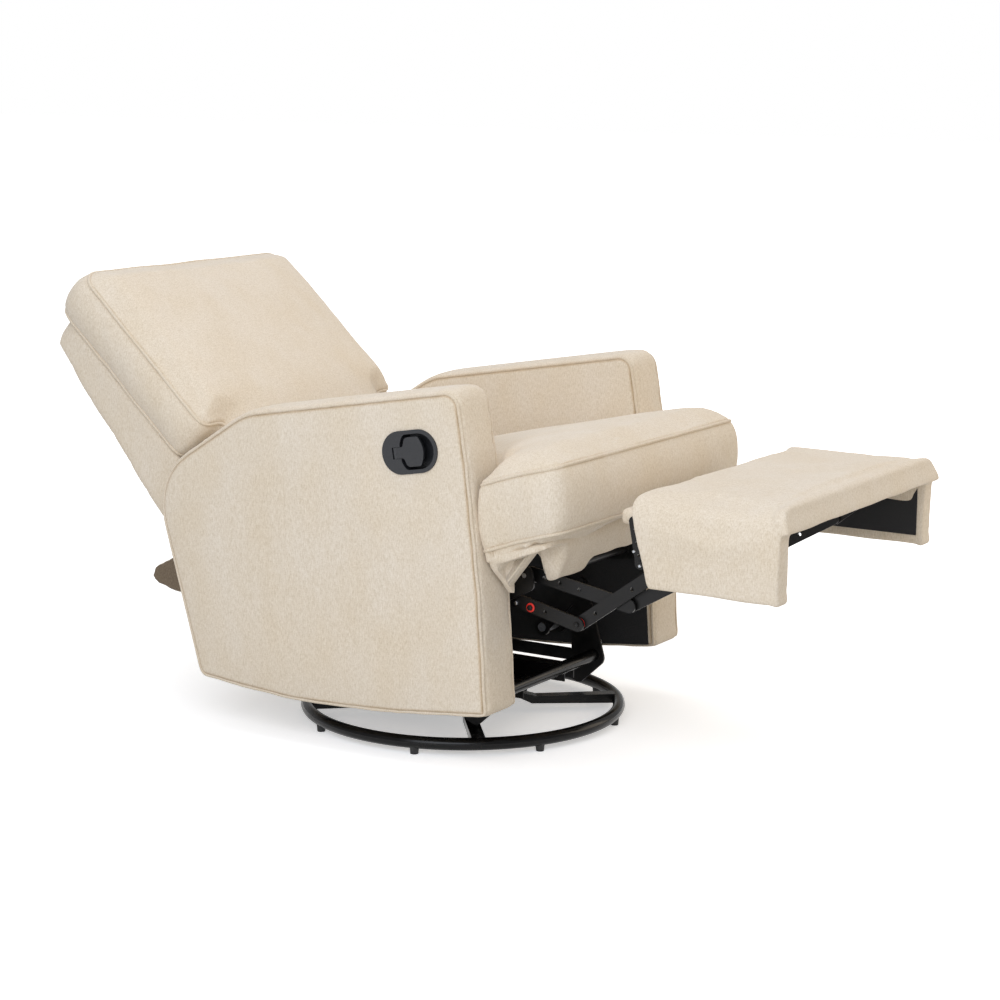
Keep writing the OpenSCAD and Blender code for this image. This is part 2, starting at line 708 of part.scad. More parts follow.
// the wing under each ear, cut off along the slant that meets the arm's front, with room
// behind it for the side flaps of the folded footrest
wing_deep = 83;
wing_thin = 5;
flap_clear = 3;
module wing_profile() {
    p1 = under_seat(ear_len - soft_gap, rail_top(ear_len));
    polygon(rounded([under_seat(rail_front, rail_top(rail_front)), p1, p1 - [0, rail_drop],
        under_seat(rail_foot - rail_wall_t, rail_drop), under_seat(rail_lip, rail_lip_drop)],
        [rail_soft_r, 0, 0, rail_soft_r, rail_soft_r * 2]));
}
module wing() {
    w = ear_w / 2 - inner_x - cut;
    top = under_seat(ear_len, rail_top(ear_len))[1];
    flaps = foot_w / 2 - flap_t - inner_x - cut;
    translate([inner_x, 0, 0]) difference() {
        intersection() {
            slab(0, w) wing_profile();
            translate([0, arm_front - soft_gap, 0]) rotate([90, 0, 0]) linear_extrude(arm_len)
                polygon([[0, top + wing_deep], [w, top + wing_deep], [w, top - wing_thin],
                    [0, top - wing_deep]]);
        }
        slab(flaps, w) folded_flap_room();
    }
}
// where the flaps' rear edges come to rest when the footrest is folded
fold_max = 122;
foot_per_fold = 0.594;
link_per_fold = -0.934;
function about(p, c, a) = c + turn(p - c, a);
function from_foot(p) = [foot_rear_y, foot_rear_z] + turn([-p[0], p[1]], foot_slope);
function folded(p) = about(about(about(p, pb, foot_per_fold * fold_max), pm,
    link_per_fold * fold_max), pa, fold_max);
module folded_flap_room() {
    a = folded(from_foot([0, -foot_soft_r]));
    b = folded(from_foot([foot_rake, -foot_flap_h]));
    u = unit(b - a);
    p = a + turn(u, 90) * flap_clear - u * foot_t;
    q = b + turn(u, 90) * flap_clear + u * flap_clear;
    polygon([p, q, q - [0, foot_flap_h], p - [0, foot_flap_h]]);
}
rear_rail_y = back_pivot_y + 75;
rear_rail_z = back_pivot_z - 173;
rear_rail_t = 14;
rear_rail_h = 56;
module rear_rail() {
    color("burlywood") body_frame()
        slab(lining_t - inner_x, 2 * (inner_x - lining_t)) translate([rear_rail_y, rear_rail_z])
            square([rear_rail_t, rear_rail_h]);
}
// padded tail that shows behind the arms, on the rear rail
module rear_skirt() {
    skirt_w = side_x - 6;
    reach = 250;
    bend = 130;
    thick = 44;
    rise = 112;
    tip = 16;
    soft_r = 10;
    color("wheat") body_frame() slab(-skirt_w, 2 * skirt_w)
        translate([rear_rail_y + rear_rail_t, rear_rail_z + soft_r / 2])
            polygon(rounded([[0, 0], [0, thick], [bend, rise], [reach - soft_r, thick + 1.5 * tip],
                [reach, thick + tip / 4], [reach - soft_r, thick - tip / 2],
                [bend + thick + tip, tip], [bend - tip, tip - 2]],
                [0, 0, thick, soft_r, soft_r * 0.6, soft_r, thick, thick]));
}

// Section: chair body: arms
// shares of arm_len and arm_h, clockwise from the front bottom corner
arm_shares = [[0.012, 0], [-0.004, 0.37], [-0.005, 0.76], [0.003, 1.002], [0.684, 0.965],
    [1.019, 0.773], [0.929, 0.112], [0.794, 0.076], [0.623, 0.037], [0.457, 0.0175],
    [0.293, 0.005]];
arm_radius_shares = [0.3, 0, 0, 1, 5, 4, 0.6, 5, 6, 6, 6];
arm_pts = [for (p = arm_shares) [arm_front + p[0] * arm_len, arm_bottom + p[1] * arm_h]];
arm_rs = [for (s = arm_radius_shares) s * arm_corner_r];
function arm_outline(d) = rounded(inset(arm_pts, d), [for (r = arm_rs) r > 0 ? max(r - d, 2) : 0]);

module arm() {
    difference() {
        union() {
            slab(-half_w, rabbet) polygon(arm_outline(rabbet));
            slab(-half_w + rabbet, arm_w - 2 * rabbet) polygon(arm_outline(0));
            slab(-inner_x - rabbet, rabbet) polygon(arm_outline(rabbet));
        }
    }
}
module bezel_outline(d) {
    r = bezel_h / 2 - d;
    half = bezel_len / 2 - bezel_h / 2;
    bezel_frame() {
        translate([-half, 0]) circle(r);
        translate([half, 0]) circle(r);
        square([2 * half, 2 * r], center = true);
    }
}
bezel_depth = 30;
bezel_proud = 3;
module arm_right() {
    color("wheat") body_frame() difference() {
        arm();
        slab(-half_w - cut, bezel_depth + cut) bezel_outline(4);
    }
}
module arm_left() {
    color("wheat") body_frame() mirror([1, 0, 0]) arm();
}
function thin(pts, step) = [for (i = [0 : len(pts) - 1])
    if (i == 0 || norm(pts[i] - pts[i - 1]) > step || i % 2 == 0) pts[i]];
module arm_piping() {
    line = arm_outline(rabbet / 2);
    side_cord(-half_w + rabbet / 2, line, piping_r);
    side_cord(-inner_x - rabbet / 2, line, piping_r);
}
module arm_piping_right() {
    color("tan") body_frame() arm_piping();
}
module arm_piping_left() {
    color("tan") body_frame() mirror([1, 0, 0]) arm_piping();
}
// black lining on the inner side of each arm, below the seat
lining_low = arm_bottom + 182;
lining_high = arm_bottom + 242;
lining_ramp = 60;
module arm_linings() {
    d = rabbet + 8;
    color("black") body_frame() both() intersection() {
        slab(inner_x - lining_t, lining_t) polygon(arm_outline(d));
        slab(inner_x - lining_t - cut, lining_t + 2 * cut) polygon([[arm_front, 0],
            [arm_front, lining_low], [arm_front + lining_ramp, lining_high],
            [arm_front + arm_len, (lining_low + lining_high) / 2], [arm_front + arm_len, 0]]);
    }
}

// Section: release handle
// Its outlines are drawn in the housing's own (along, across), along pointing rearward.
bezel_tilt = -2.8;
rim = 7;
stem_half = 10;
stem_a = bezel_len * 0.27;
lever_gap = 0.6;
lever_t = 6;
lever_x = -half_w - bezel_proud + 1;
recess_depth = 27;
barrel_r = 4;
module bezel_frame() {
    translate([bezel_y, bezel_z]) rotate(bezel_tilt) children();
}
module lever_recess() {
    r = bezel_h / 2 - rim;
    front = bezel_h / 2 - bezel_len / 2;
    back = bezel_len * 0.16;
    bezel_frame() {
        translate([front, 0]) circle(r);
        polygon(rounded([[front, -r], [front, r], [back - 8, r], [back, r * 0.5],
            [back, -r * 0.5], [back - 8, -r]], [0, 0, 12, 8, 8, 12]));
        translate([0, -stem_half - lever_gap]) square([stem_a + barrel_r + lever_gap,
            2 * (stem_half + lever_gap)]);
    }
}
module handle_housing() {
    color("#2b2c30") body_frame() difference() {
        union() {
            slab(-half_w - bezel_proud, bezel_proud) bezel_outline(0);
            slab(-half_w, bezel_depth - face_gap) bezel_outline(4 + face_gap);
        }
        slab(-half_w - bezel_proud - cut, recess_depth + cut) lever_recess();
    }
}
// a stem from its barrel to a rounded paddle, set in the recess
module release_lever() {
    r = bezel_h * 0.34;
    tip = -bezel_len * 0.23;
    color("#2b2c30") body_frame() {
        slab(lever_x, lever_t) bezel_frame() polygon(rounded([[stem_a, -stem_half],
            [stem_a, stem_half], [14, stem_half], [8, r], [tip + 6, r], [tip, r * 0.5],
            [tip - 3, 0], [tip, -r * 0.5], [tip + 6, -r], [8, -r], [14, -stem_half]],
            [0, 0, 5, 9, 6, 12, 30, 12, 6, 9, 5]));
        translate([lever_x + lever_t / 2, bezel_y, bezel_z]) rotate([bezel_tilt, 0, 0])
            translate([0, stem_a, -stem_half]) cylinder(r = barrel_r, h = 2 * stem_half);
    }
}

// Section: back
back_up = [cos(back_slope), sin(back_slope)];
back_in = [sin(back_slope), -cos(back_slope)];
neck_w = 2 * (inner_x - 6);
roll_r = 36;
shoulder = back_clear_r;
back_r = 34;
// outline in (x, distance above the pivot)
roll_w = 2 * (side_x - plane_pitch - 5);
notch_h = 68;
back_half = rounded([[0, 0], [roll_w / 2, 0], [roll_w / 2, notch_h], [neck_w / 2, notch_h],
    [neck_w / 2, shoulder], [back_w / 2, shoulder], [back_w / 2, back_len], [0, back_len - 4]],
    [0, 8, 6, 6, 10, 24, 44, 0]);
back_right = [for (p = back_half) if (p[0] > 0) p];
back_outline = dense(concat(back_right, mirror_x(back_right)), 90);
back_centre = [0, back_len * 0.5];
back_crown = 20;

// the back's own frame: x across, y up along the face, z toward the sitter
module back_frame() {
    body_frame() translate([0, back_pivot_y, back_pivot_z]) rotate([back_slope, 0, 0])
        children();
}
// seams of the cushion: rear seam at this height below the front face
back_rear_z = back_pivot_depth - back_box_h;
module back_cushion() {
    color("wheat") back_frame() {
        translate([0, 0, back_rear_z])
            cushion(back_outline, back_centre, back_box_h, back_crown, back_belly, 0, 0);
        translate([-roll_w / 2, 0, 0]) rotate([90, 0, 90]) linear_extrude(roll_w)
            circle(roll_r, $fn = 32);
    }
}
module back_piping() {
    color("tan") back_frame() {
        translate([0, 0, back_rear_z]) {
            seam_cord(back_outline, 0, 0, 0);
            seam_cord(back_outline, back_box_h, 0, 0);
        }
    }
}
shell_w = back_w - 12;
shell_top_z = back_rear_z - groove - back_belly - face_gap;
shell_foot_y = 84;
// a padded wedge behind the cushion: T-shaped from the front, tapering upward from the side,
// its wide part hollowed about the pivot so that it swings clear of the arms
module outer_back() {
    sh = shoulder + 6;
    low = shoulder / 2;
    color("wheat") back_frame() difference() {
        intersection() {
            translate([0, 0, -back_len]) linear_extrude(back_len * 2)
                polygon(rounded([[-shell_w / 2, low], [-shell_w / 2, shell_len],
                    [shell_w / 2, shell_len], [shell_w / 2, low], [neck_w / 2, low],
                    [neck_w / 2, shell_foot_y], [-neck_w / 2, shell_foot_y], [-neck_w / 2, low]],
                    [0, 40, 40, 0, 0, 0, 0, 0]));
            rotate([90, 0, 90]) translate([0, 0, -half_w]) linear_extrude(2 * half_w)
                polygon(rounded([[shell_foot_y, shell_top_z], [shell_len, shell_top_z],
                    [shell_len, shell_top_z - shell_top_t],
                    [shell_foot_y, shell_top_z - shell_foot_t]], [6, 10, 26, 18]));
        }
        both() rod([0, 0], neck_w / 2, half_w, sh);
    }
}
// stamped brackets from the outer back down to the hinge pins
bracket_x = side_x - plane_pitch + 1;
module back_brackets() {
    r = 17;
    color("dimgray") back_frame() both() difference() {
        union() {
            translate([bracket_x, 0, 0]) rotate([90, 0, 90]) linear_extrude(link_t)
                polygon(rounded([[-r, r], [r, r], [shell_foot_y, back_rear_z - 32],
                    [shell_foot_y, back_rear_z - 92], [shell_foot_y - 40, back_rear_z - 60],
                    [-r, -r]], [r * 0.9, r * 0.9, 0, 0, 20, r * 0.9]));
            translate([bracket_x, 0, 0]) rotate([90, 0, 90]) linear_extrude(side_x + link_t - bracket_x)
                circle(rivet_r * 1.5);
        }
    }
}

// Section: footrest linkage
torque_r = 10;
hole_shares = [0.2, 0.5, 0.8];
module link_plate(x, a, b, holes) {
    difference() {
        slab(x, link_t) bar(a, b, link_r);
        for (h = holes) rod(a + (b - a) * h, x - cut, x + link_t + cut, rivet_r * 0.8);
    }
}
module front_links() {
    color("dimgray") body_frame() both() {
        difference() {
            link_plate(front_x, pa, ea, [0.14, 0.3, 0.5]);
            rod(pa, front_x - cut, front_x + link_t + cut, rivet_r);
            rod(pm, front_x - cut, front_x + link_t + cut, rivet_r);
        }
        rod(ea, tie_x - pin_head, front_x, rivet_r);
    }
}
module drive_links() {
    color("dimgray") body_frame() both() difference() {
        link_plate(drive_x, pc, ec, [0.62]);
        rod(pc, drive_x - cut, drive_x + link_t + cut, torque_r);
    }
}
// turns both drive links together; its ends are the drive links' pivots in the side plates
module torque_tube() {
    color("dimgray") body_frame() rod(pc, -side_x - link_t, side_x + link_t, torque_r - run_fit);
}
module ottoman_links() {
    color("dimgray") body_frame() both() {
        difference() {
            link_plate(ottoman_x, ec, pb, [0.13, 0.42, 0.62, 0.75]);
            rod(pp, ottoman_x - cut, ottoman_x + link_t + cut, rivet_r);
        }
        rod(pm, front_x - pin_head, ottoman_x, rivet_r - run_fit);
    }
}
module tie_links() {
    color("dimgray") body_frame() both() difference() {
        link_plate(tie_x, ea, pd, [0.35, 0.65]);
        rod(ea, tie_x - cut, tie_x + link_t + cut, rivet_r + run_fit);
    }
}
// red washers on the ottoman link's foot pivot
washer_gap = plane_pitch - link_t;
module nylon_washers() {
    color("red") body_frame() both() slab(ottoman_x + link_t, washer_gap - face_gap)
        dot(ec, link_r - 1);
}

spring_r = 8;
spring_turns = 14;
wire_r = 1.4;
spring_eye = 14;
spring_len = 107;
spring_back = 31;
spring_rise = 7;
spring_b = pc + [spring_back, spring_rise];
spring_a = spring_b + [spring_len, -spring_rise - 2 * wire_r / 3];
spring_x = drive_x - spring_r;
spring_pitch = (norm(spring_a - spring_b) - 2 * spring_eye) / spring_turns;
echo(str("least gap between spring turns: ", spring_pitch - 2 * wire_r, " mm"));
// a close-wound extension spring with a hook at each end, from the frame to the drive link
module extension_springs() {
    d = unit([0, spring_b[0] - spring_a[0], spring_b[1] - spring_a[1]]);
    u = [1, 0, 0];
    v = cross(d, u);
    run = norm(spring_b - spring_a);
    eye = spring_eye;
    body = run - 2 * eye;
    start = [spring_x, spring_a[0], spring_a[1]];
    coil = [for (i = [0 : spring_turns * 8]) let (a = i * 45, t = i / (spring_turns * 8))
        start + d * (eye + body * t) + spring_r * (u * cos(a) + v * sin(a))];
    path = concat([start, start + d * eye * 0.6], coil,
        [start + d * (run - eye * 0.6), start + d * run]);
    color("white") body_frame() both() open_cord(path, wire_r, 6);
}
module open_cord(path, r, sides) {
    n = len(path);
    rings = [for (i = [0 : n - 1]) let (
        t = unit(path[min(i + 1, n - 1)] - path[max(i - 1, 0)]),
        side = unit(cross(t, abs(t[0]) < 0.8 ? [1, 0, 0] : [0, 0, 1])), up = cross(t, side))
        [for (k = [0 : sides - 1]) path[i] + r * (side * cos(360 * k / sides)
            + up * sin(360 * k / sides))]];
    polyhedron([for (ring = rings) each ring], concat(
        [for (i = [0 : n - 2], k = [0 : sides - 1]) let (
            a = i * sides, b = (i + 1) * sides, l = (k + 1) % sides)
            each [[a + k, b + k, b + l], [a + k, b + l, a + l]]],
        [[for (k = [0 : sides - 1]) k]], [[for (k = [sides - 1 : -1 : 0]) (n - 1) * sides + k]]));
}

// Section: footrest
// the footrest's own frame: x across, y along the board toward the lip, z up from its top
module foot_frame() {
    body_frame() translate([0, foot_rear_y, foot_rear_z]) rotate([180 + foot_slope, 0, 0])
        mirror([0, 0, 1]) children();
}
foot_r = 34;
foot_crown = 9;
// set-back of the flaps' front edges, slant of their rear edges, roundness of the rear edge
flap_set = 14;
foot_rake = 32;
foot_soft_r = 8;
// a section across the footrest, drawn in by d at its ends
function foot_section(d) = let (h = foot_w / 2 - d, r = foot_r,
    outer = [for (a = [0 : 15 : 90]) [h - r + r * cos(90 - a), -d - r + r * sin(90 - a)]],
    top = [for (x = [0.25, 0.55, 0.8]) [(h - r) * x, -d + foot_crown * (1 - x * x * x)]])
    concat([[0, -d + foot_crown]], top, outer);
module footrest_pad() {
    color("wheat") foot_frame() intersection() {
        difference() {
            slab_y(0, foot_len) u_section();
            slab_y(-cut, foot_len + 2 * cut)
                polygon([[-foot_w / 2 + flap_t, -foot_flap_h - cut], [foot_w / 2 - flap_t, -foot_flap_h - cut],
                    [foot_w / 2 - flap_t, -foot_t], [-foot_w / 2 + flap_t, -foot_t]]);
        }
        slab(-half_w, 2 * half_w) polygon(rounded([[0, -foot_soft_r], [14, foot_crown],
            [foot_len - 20, foot_crown], [foot_len, -6], [foot_len, -foot_t],
            [foot_len - flap_set, -foot_t], [foot_len - flap_set - cut, -foot_flap_h],
            [foot_rake, -foot_flap_h]], [12, 24, 26, 18, 0, 0, 6, 6]));
    }
}
module slab_y(y, t) {
    translate([0, y + t, 0]) rotate([90, 0, 0]) linear_extrude(t) children();
}
module u_section() {
    half = foot_section(0);
    pts = concat(half, [[foot_w / 2, -foot_flap_h], [-foot_w / 2, -foot_flap_h]],
        [for (i = [len(half) - 1 : -1 : 1]) [-half[i][0], half[i][1]]]);
    polygon(pts);
}
module footrest_lining() {
    x = foot_w / 2 - flap_t;
    t = 2;
    color("black") foot_frame() difference() {
        translate([-x, 20, -foot_flap_h + 12])
            cube([2 * x, foot_len - 32, foot_flap_h - 12 - foot_t]);
        translate([-x + t, 20 - cut, -foot_flap_h])
            cube([2 * x - 2 * t, foot_len + 2 * cut, foot_flap_h - foot_t - t]);
        slab(-half_w, 2 * half_w) polygon([[0, 0], [0, -foot_flap_h], [44, -foot_flap_h], [18, -20]]);
    }
}
// body-frame points seen from the footrest's frame
function in_foot(p) = let (q = p - [foot_rear_y, foot_rear_z])
    [-(q[0] * cos(foot_slope) + q[1] * sin(foot_slope)),
     -q[0] * sin(foot_slope) + q[1] * cos(foot_slope)];
module footrest_brackets() {
    b = in_foot(pb);
    d = in_foot(pd);
    top = -foot_t - 2;
    color("dimgray") foot_frame() both() {
        slab(front_x, link_t) difference() {
            polygon(rounded([[b[0] - 16, top], [foot_len - 70, top], [foot_len - 70, top - 12],
                [d[0] + 16, d[1] - 4], [d[0] + 4, d[1] - 14], [d[0] - 10, d[1] - 12],
                [b[0] - 16, b[1] - 10]], [0, 0, 6, 12, 8, 8, 12]));
            translate(b + [56, 16]) circle(rivet_r);
        }
        translate([front_x - 22, b[0] - 16, top - 3]) cube([22, foot_len - 70 - b[0] + 16, 3]);
        rod(b, front_x + link_t, ottoman_x - face_gap, rivet_r);
        rod(d, tie_x + link_t + face_gap, front_x, rivet_r);
    }
}

// Section: middle ottoman
mid_y = -525;
mid_z = 410;
mid_w = 2 * (plane_x - face_gap);
module mid_frame() {
    body_frame() translate([0, mid_y, mid_z]) rotate([foot_slope, 0, 0]) children();
}
mid_half = rounded([[0, -mid_len / 2], [mid_w / 2, -mid_len / 2], [mid_w / 2, mid_len / 2],
    [0, mid_len / 2]], [0, 14, 14, 0]);
mid_right = [for (p = mid_half) if (p[0] > 0) p];
mid_outline = dense(concat(mid_right, mirror_x(mid_right)), 60);
module middle_pad() {
    n = len(mid_outline);
    shares = [[-mid_t / 2, 0.9], [-mid_t * 0.36, 0.985], [mid_t * 0.2, 1], [mid_t * 0.42, 0.95],
        [mid_t / 2, 0.8]];
    pts = [for (s = shares) each [for (p = mid_outline) [p[0] - sign(p[0]) * (1 - s[1]) * mid_len / 2,
        p[1] * s[1], s[0]]]];
    m = len(shares);
    color("wheat") mid_frame() polyhedron(pts, concat(
        [for (i = [0 : m - 2], k = [0 : n - 1]) let (a = i * n, b = (i + 1) * n, l = (k + 1) % n)
            each [[a + k, b + k, b + l], [a + k, b + l, a + l]]],
        [[for (k = [0 : n - 1]) k]], [[for (k = [n - 1 : -1 : 0]) (m - 1) * n + k]]));
}
// a flat upright from the ottoman link's pin, bent at a knee, up beside the pad
mid_knee = [mid_y + 3, mid_z - 80];
mid_top = [mid_y + 8, mid_z - 4];
module middle_brackets() {
    color("dimgray") body_frame() both() {
        difference() {
            union() {
                slab(mid_x, link_t) bar(pp, mid_knee, 10);
                slab(mid_x, link_t) bar(mid_knee, mid_top, 9);
            }
            for (s = hole_shares) rod(mid_knee + (mid_top - mid_knee) * s, mid_x - cut,
                mid_x + link_t + cut, rivet_r * 0.6);
        }
        rod(pp, mid_x, ottoman_x + link_t, rivet_r - run_fit);
        // chrome bolt at the knee
        slab(mid_x + link_t, pin_head) dot(mid_knee, rivet_r * 1.3);
    }
}

base_ring();
base_spider();
floor_glides();
lower_race();
bearing_balls();
king_bolt();
swivel_plate();
frame_rails();
front_cross_tube();
rear_cross_tube();
glide_towers();
tower_bolts();
front_glide_links();
rear_glide_links();
side_plates();
glide_axles();
linkage_pins();
seat_frame();
seat_springs();
front_rail();
rear_rail();
rear_skirt();
arm_right();
arm_left();
arm_piping_right();
arm_piping_left();
arm_linings();
seat_cushion();
seat_piping();
handle_housing();
release_lever();
back_cushion();
back_piping();
outer_back();
back_brackets();
front_links();
drive_links();
torque_tube();
ottoman_links();
tie_links();
nylon_washers();
extension_springs();
footrest_pad();
footrest_lining();
footrest_brackets();
middle_pad();
middle_brackets();
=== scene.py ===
"""Looks of the swivel glider recliner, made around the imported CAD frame.

Every length is in metres. The chair's soft pieces start as copies of their CAD solids, are
remeshed finely, swell between their seams as cloth, and then get their piping and puckers.
"""
import math

import bpy
import numpy as np
from mathutils import Matrix, Vector
from mathutils.bvhtree import BVHTree


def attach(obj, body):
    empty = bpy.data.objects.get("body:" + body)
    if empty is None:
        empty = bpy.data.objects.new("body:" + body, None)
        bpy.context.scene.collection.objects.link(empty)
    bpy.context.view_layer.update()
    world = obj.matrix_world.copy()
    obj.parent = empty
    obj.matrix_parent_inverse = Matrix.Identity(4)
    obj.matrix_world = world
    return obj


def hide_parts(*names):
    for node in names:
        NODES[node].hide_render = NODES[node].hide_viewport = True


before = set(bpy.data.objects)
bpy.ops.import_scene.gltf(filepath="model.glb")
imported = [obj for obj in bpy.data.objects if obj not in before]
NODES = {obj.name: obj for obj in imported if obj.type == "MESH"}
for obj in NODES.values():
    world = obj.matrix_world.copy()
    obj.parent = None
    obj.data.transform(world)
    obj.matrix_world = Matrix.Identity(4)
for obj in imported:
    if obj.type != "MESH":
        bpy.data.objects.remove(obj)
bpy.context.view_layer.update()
MM = 0.001

# ---- frames that the CAD source uses: X across, Y to the rear, Z up or out of the panel ----
BODY_TILT = math.radians(7)
TILT_HEIGHT = 0.2
HUB_Y = 0.048
CHAIR = (
    Matrix.Translation((0, HUB_Y, TILT_HEIGHT))
    @ Matrix.Rotation(-BODY_TILT, 4, "X")
    @ Matrix.Translation((0, 0, -TILT_HEIGHT))
)


def panel_frame(y, z, slope):
    """The frame of a panel that starts at (y, z) of the chair and slopes by so many degrees."""
    return CHAIR @ Matrix.Translation((0, y, z)) @ Matrix.Rotation(math.radians(slope), 4, "X")


SEAT = panel_frame(-0.448, 0.404, -6)
BACK = panel_frame(0.235, 0.435, 49.8)
FOOT = panel_frame(-0.590, 0.465, 7)
LAID = Matrix.Rotation(math.radians(90), 4, "X")    # brings Z into a panel's length
HALF_W = 0.368      # from the middle to an arm's outer face
INNER_X = 0.262     # and to its inner face
PIPING_R = 3.1 * MM


# ---------------------------------------------------------------- camera, light and floor
CAMERA_PLACE = (-3.955, -2.526 + HUB_Y, 1.286)
CAMERA_TURN = (31.72, 10.41, 0.46)      # yaw, down and roll, in degrees
CAMERA_LENS, CAMERA_SENSOR, CAMERA_REACH = 88.7, 36, 100


def add_camera():
    """The photograph's view: a long lens, a little above the arms, from the handle's side."""
    yaw, pitch, roll = (math.radians(a) for a in CAMERA_TURN)
    view = Vector((math.cos(yaw) * math.cos(pitch), math.sin(yaw) * math.cos(pitch),
                   -math.sin(pitch)))
    level = Vector((math.sin(yaw), -math.cos(yaw), 0))
    up = level.cross(view)
    right = math.cos(roll) * level + math.sin(roll) * up
    up = right.cross(view)
    data = bpy.data.cameras.new("photo_camera")
    data.lens, data.sensor_width, data.clip_end = CAMERA_LENS, CAMERA_SENSOR, CAMERA_REACH
    camera = bpy.data.objects.new("photo_camera", data)
    bpy.context.scene.collection.objects.link(camera)
    turn = Matrix((right, up, -view)).transposed().to_4x4()
    camera.matrix_world = Matrix.Translation(CAMERA_PLACE) @ turn
    bpy.context.scene.camera = camera


def srgb(code):
    """A #rrggbb colour as linear RGBA."""
    parts = [int(code[i:i + 2], 16) / 255 for i in (1, 3, 5)]
    return [c / 12.92 if c <= 0.04045 else ((c + 0.055) / 1.055) ** 2.4 for c in parts] + [1]


def node(tree, kind, inputs=None, **settings):
    """Adds a node; inputs gives each socket a value or another node's output."""
    made = tree.nodes.new(kind)
    for name, value in settings.items():
        setattr(made, name, value)
    for key, value in (inputs or {}).items():
        if isinstance(value, bpy.types.NodeSocket):
            tree.links.new(value, made.inputs[key])
        else:
            made.inputs[key].default_value = value
    return made


def material(name):
    """A new material, with its tree and its surface shader."""
    made = bpy.data.materials.new(name)
    made.use_nodes = True
    return made, made.node_tree, made.node_tree.nodes["Principled BSDF"]


def ramp(tree, fac, stops):
    """A colour ramp: stops are (place, colour) pairs."""
    made = node(tree, "ShaderNodeValToRGB", {"Fac": fac})
    band = made.color_ramp
    while len(band.elements) < len(stops):
        band.elements.new(0.5)
    for element, (place, colour) in zip(band.elements, stops):
        element.position = place
        element.color = srgb(colour) if isinstance(colour, str) else (*[colour] * 3, 1)
    return made


def grains(tree, turn, period, detail=3.0):
    """Noise whose grains are period=(x, y, z) metres long, on object coordinates."""
    place = node(tree, "ShaderNodeTexCoord").outputs["Object"]
    turned = node(tree, "ShaderNodeMapping", {"Vector": place, "Rotation": turn,
                  "Scale": [1 / p for p in period]}, vector_type="POINT")
    return node(tree, "ShaderNodeTexNoise", {"Vector": turned.outputs[0], "Scale": 1.0,
                "Detail": detail, "Roughness": 0.55}).outputs["Fac"]


def mark(obj, name, values):
    """Stores a number per point, which the piece's material reads."""
    layer = obj.data.attributes.get(name) or obj.data.attributes.new(name, "FLOAT", "POINT")
    layer.data.foreach_set("value", np.ascontiguousarray(values, dtype=np.float32))


def math_node(tree, operation, a, b):
    """One calculation on two values or sockets."""
    return node(tree, "ShaderNodeMath", {0: a, 1: b}, operation=operation).outputs[0]


def blended(tree, kind, factor, a, b):
    """Two colours through one mix node."""
    return node(tree, "ShaderNodeMix", {"Factor": factor, 6: a, 7: b},
                data_type="RGBA", blend_type=kind).outputs[2]


def bumped(tree, shader, height, strength, depth):
    """Relief on the surface, so many metres deep at full strength."""
    relief = node(tree, "ShaderNodeBump", {"Height": height, "Strength": strength,
                  "Distance": depth})
    tree.links.new(relief.outputs[0], shader.inputs["Normal"])


def woven_fabric(name, turn, deep="#d1c3ad", pale="#dfd3c1", high="#eae0d1", slub=7 * MM):
    """Cream polyester linen-look cloth: slubs along the warp (local Z after turn) in three tones.

    Real threads are 0.7 mm apart. They are drawn 2 mm apart, as fine as the render shows.
    """
    made, tree, shader = material(name)
    thread = 2.0 * MM
    streaks = grains(tree, turn, (thread, thread, slub))
    cross = grains(tree, turn, (slub, slub, thread), 2.0)
    fibre = grains(tree, turn, (1.2 * MM, 1.2 * MM, 2.2 * MM), 2.0)
    clouds = grains(tree, turn, (90 * MM, 90 * MM, 160 * MM), 2.0)
    weave = math_node(tree, "ADD", math_node(tree, "MULTIPLY", streaks, 0.52),
                      math_node(tree, "MULTIPLY", cross, 0.2))
    weave = math_node(tree, "ADD", weave, math_node(tree, "MULTIPLY", fibre, 0.28))
    tones = ramp(tree, weave, [(0.36, deep), (0.5, pale), (0.64, high)])
    worn = ramp(tree, clouds, [(0.3, "#fbf8f2"), (0.7, "#ffffff")])
    mixed = blended(tree, "MULTIPLY", 1.0, tones.outputs[0], worn.outputs[0])
    bumped(tree, shader, weave, 0.5, 0.8 * MM)
    # painted shade along the seams, where the piping would shadow the cover, on the points that
    # sew() marks
    seam_shade_tone = ramp(tree, node(tree, "ShaderNodeAttribute", attribute_name="painted_seam_shade").outputs["Fac"],
                  [(0.0, "#ffffff"), (0.4, "#e9e0d4"), (0.95, "#ab9b86")])
    seam_shaded = blended(tree, "MULTIPLY", 1.0, mixed, seam_shade_tone.outputs[0])
    tree.links.new(seam_shaded, shader.inputs["Base Color"])
    shader.inputs["Roughness"].default_value = 0.92
    shader.inputs["Specular IOR Level"].default_value = 0.18
    shader.inputs["Sheen Weight"].default_value = 0.25
    shader.inputs["Sheen Roughness"].default_value = 0.5
    return made


def coated_steel(name, tone, worn, rough, peel, strength):
    """Steel with a baked black finish: a slight orange peel, and dust and rubbing in patches."""
    made, tree, shader = material(name)
    dust = grains(tree, (0, 0, 0), (60 * MM, 60 * MM, 60 * MM), 3.0)
    skin = grains(tree, (0, 0, 0), (peel, peel, peel), 1.0)
    tones = ramp(tree, dust, [(0.42, tone), (0.72, worn)])
    shine = ramp(tree, dust, [(0.35, rough), (0.7, min(1.0, rough + 0.16))])
    bumped(tree, shader, skin, strength, 0.2 * MM)
    tree.links.new(tones.outputs[0], shader.inputs["Base Color"])
    tree.links.new(shine.outputs[0], shader.inputs["Roughness"])
    shader.inputs["Specular IOR Level"].default_value = 0.25
    return made


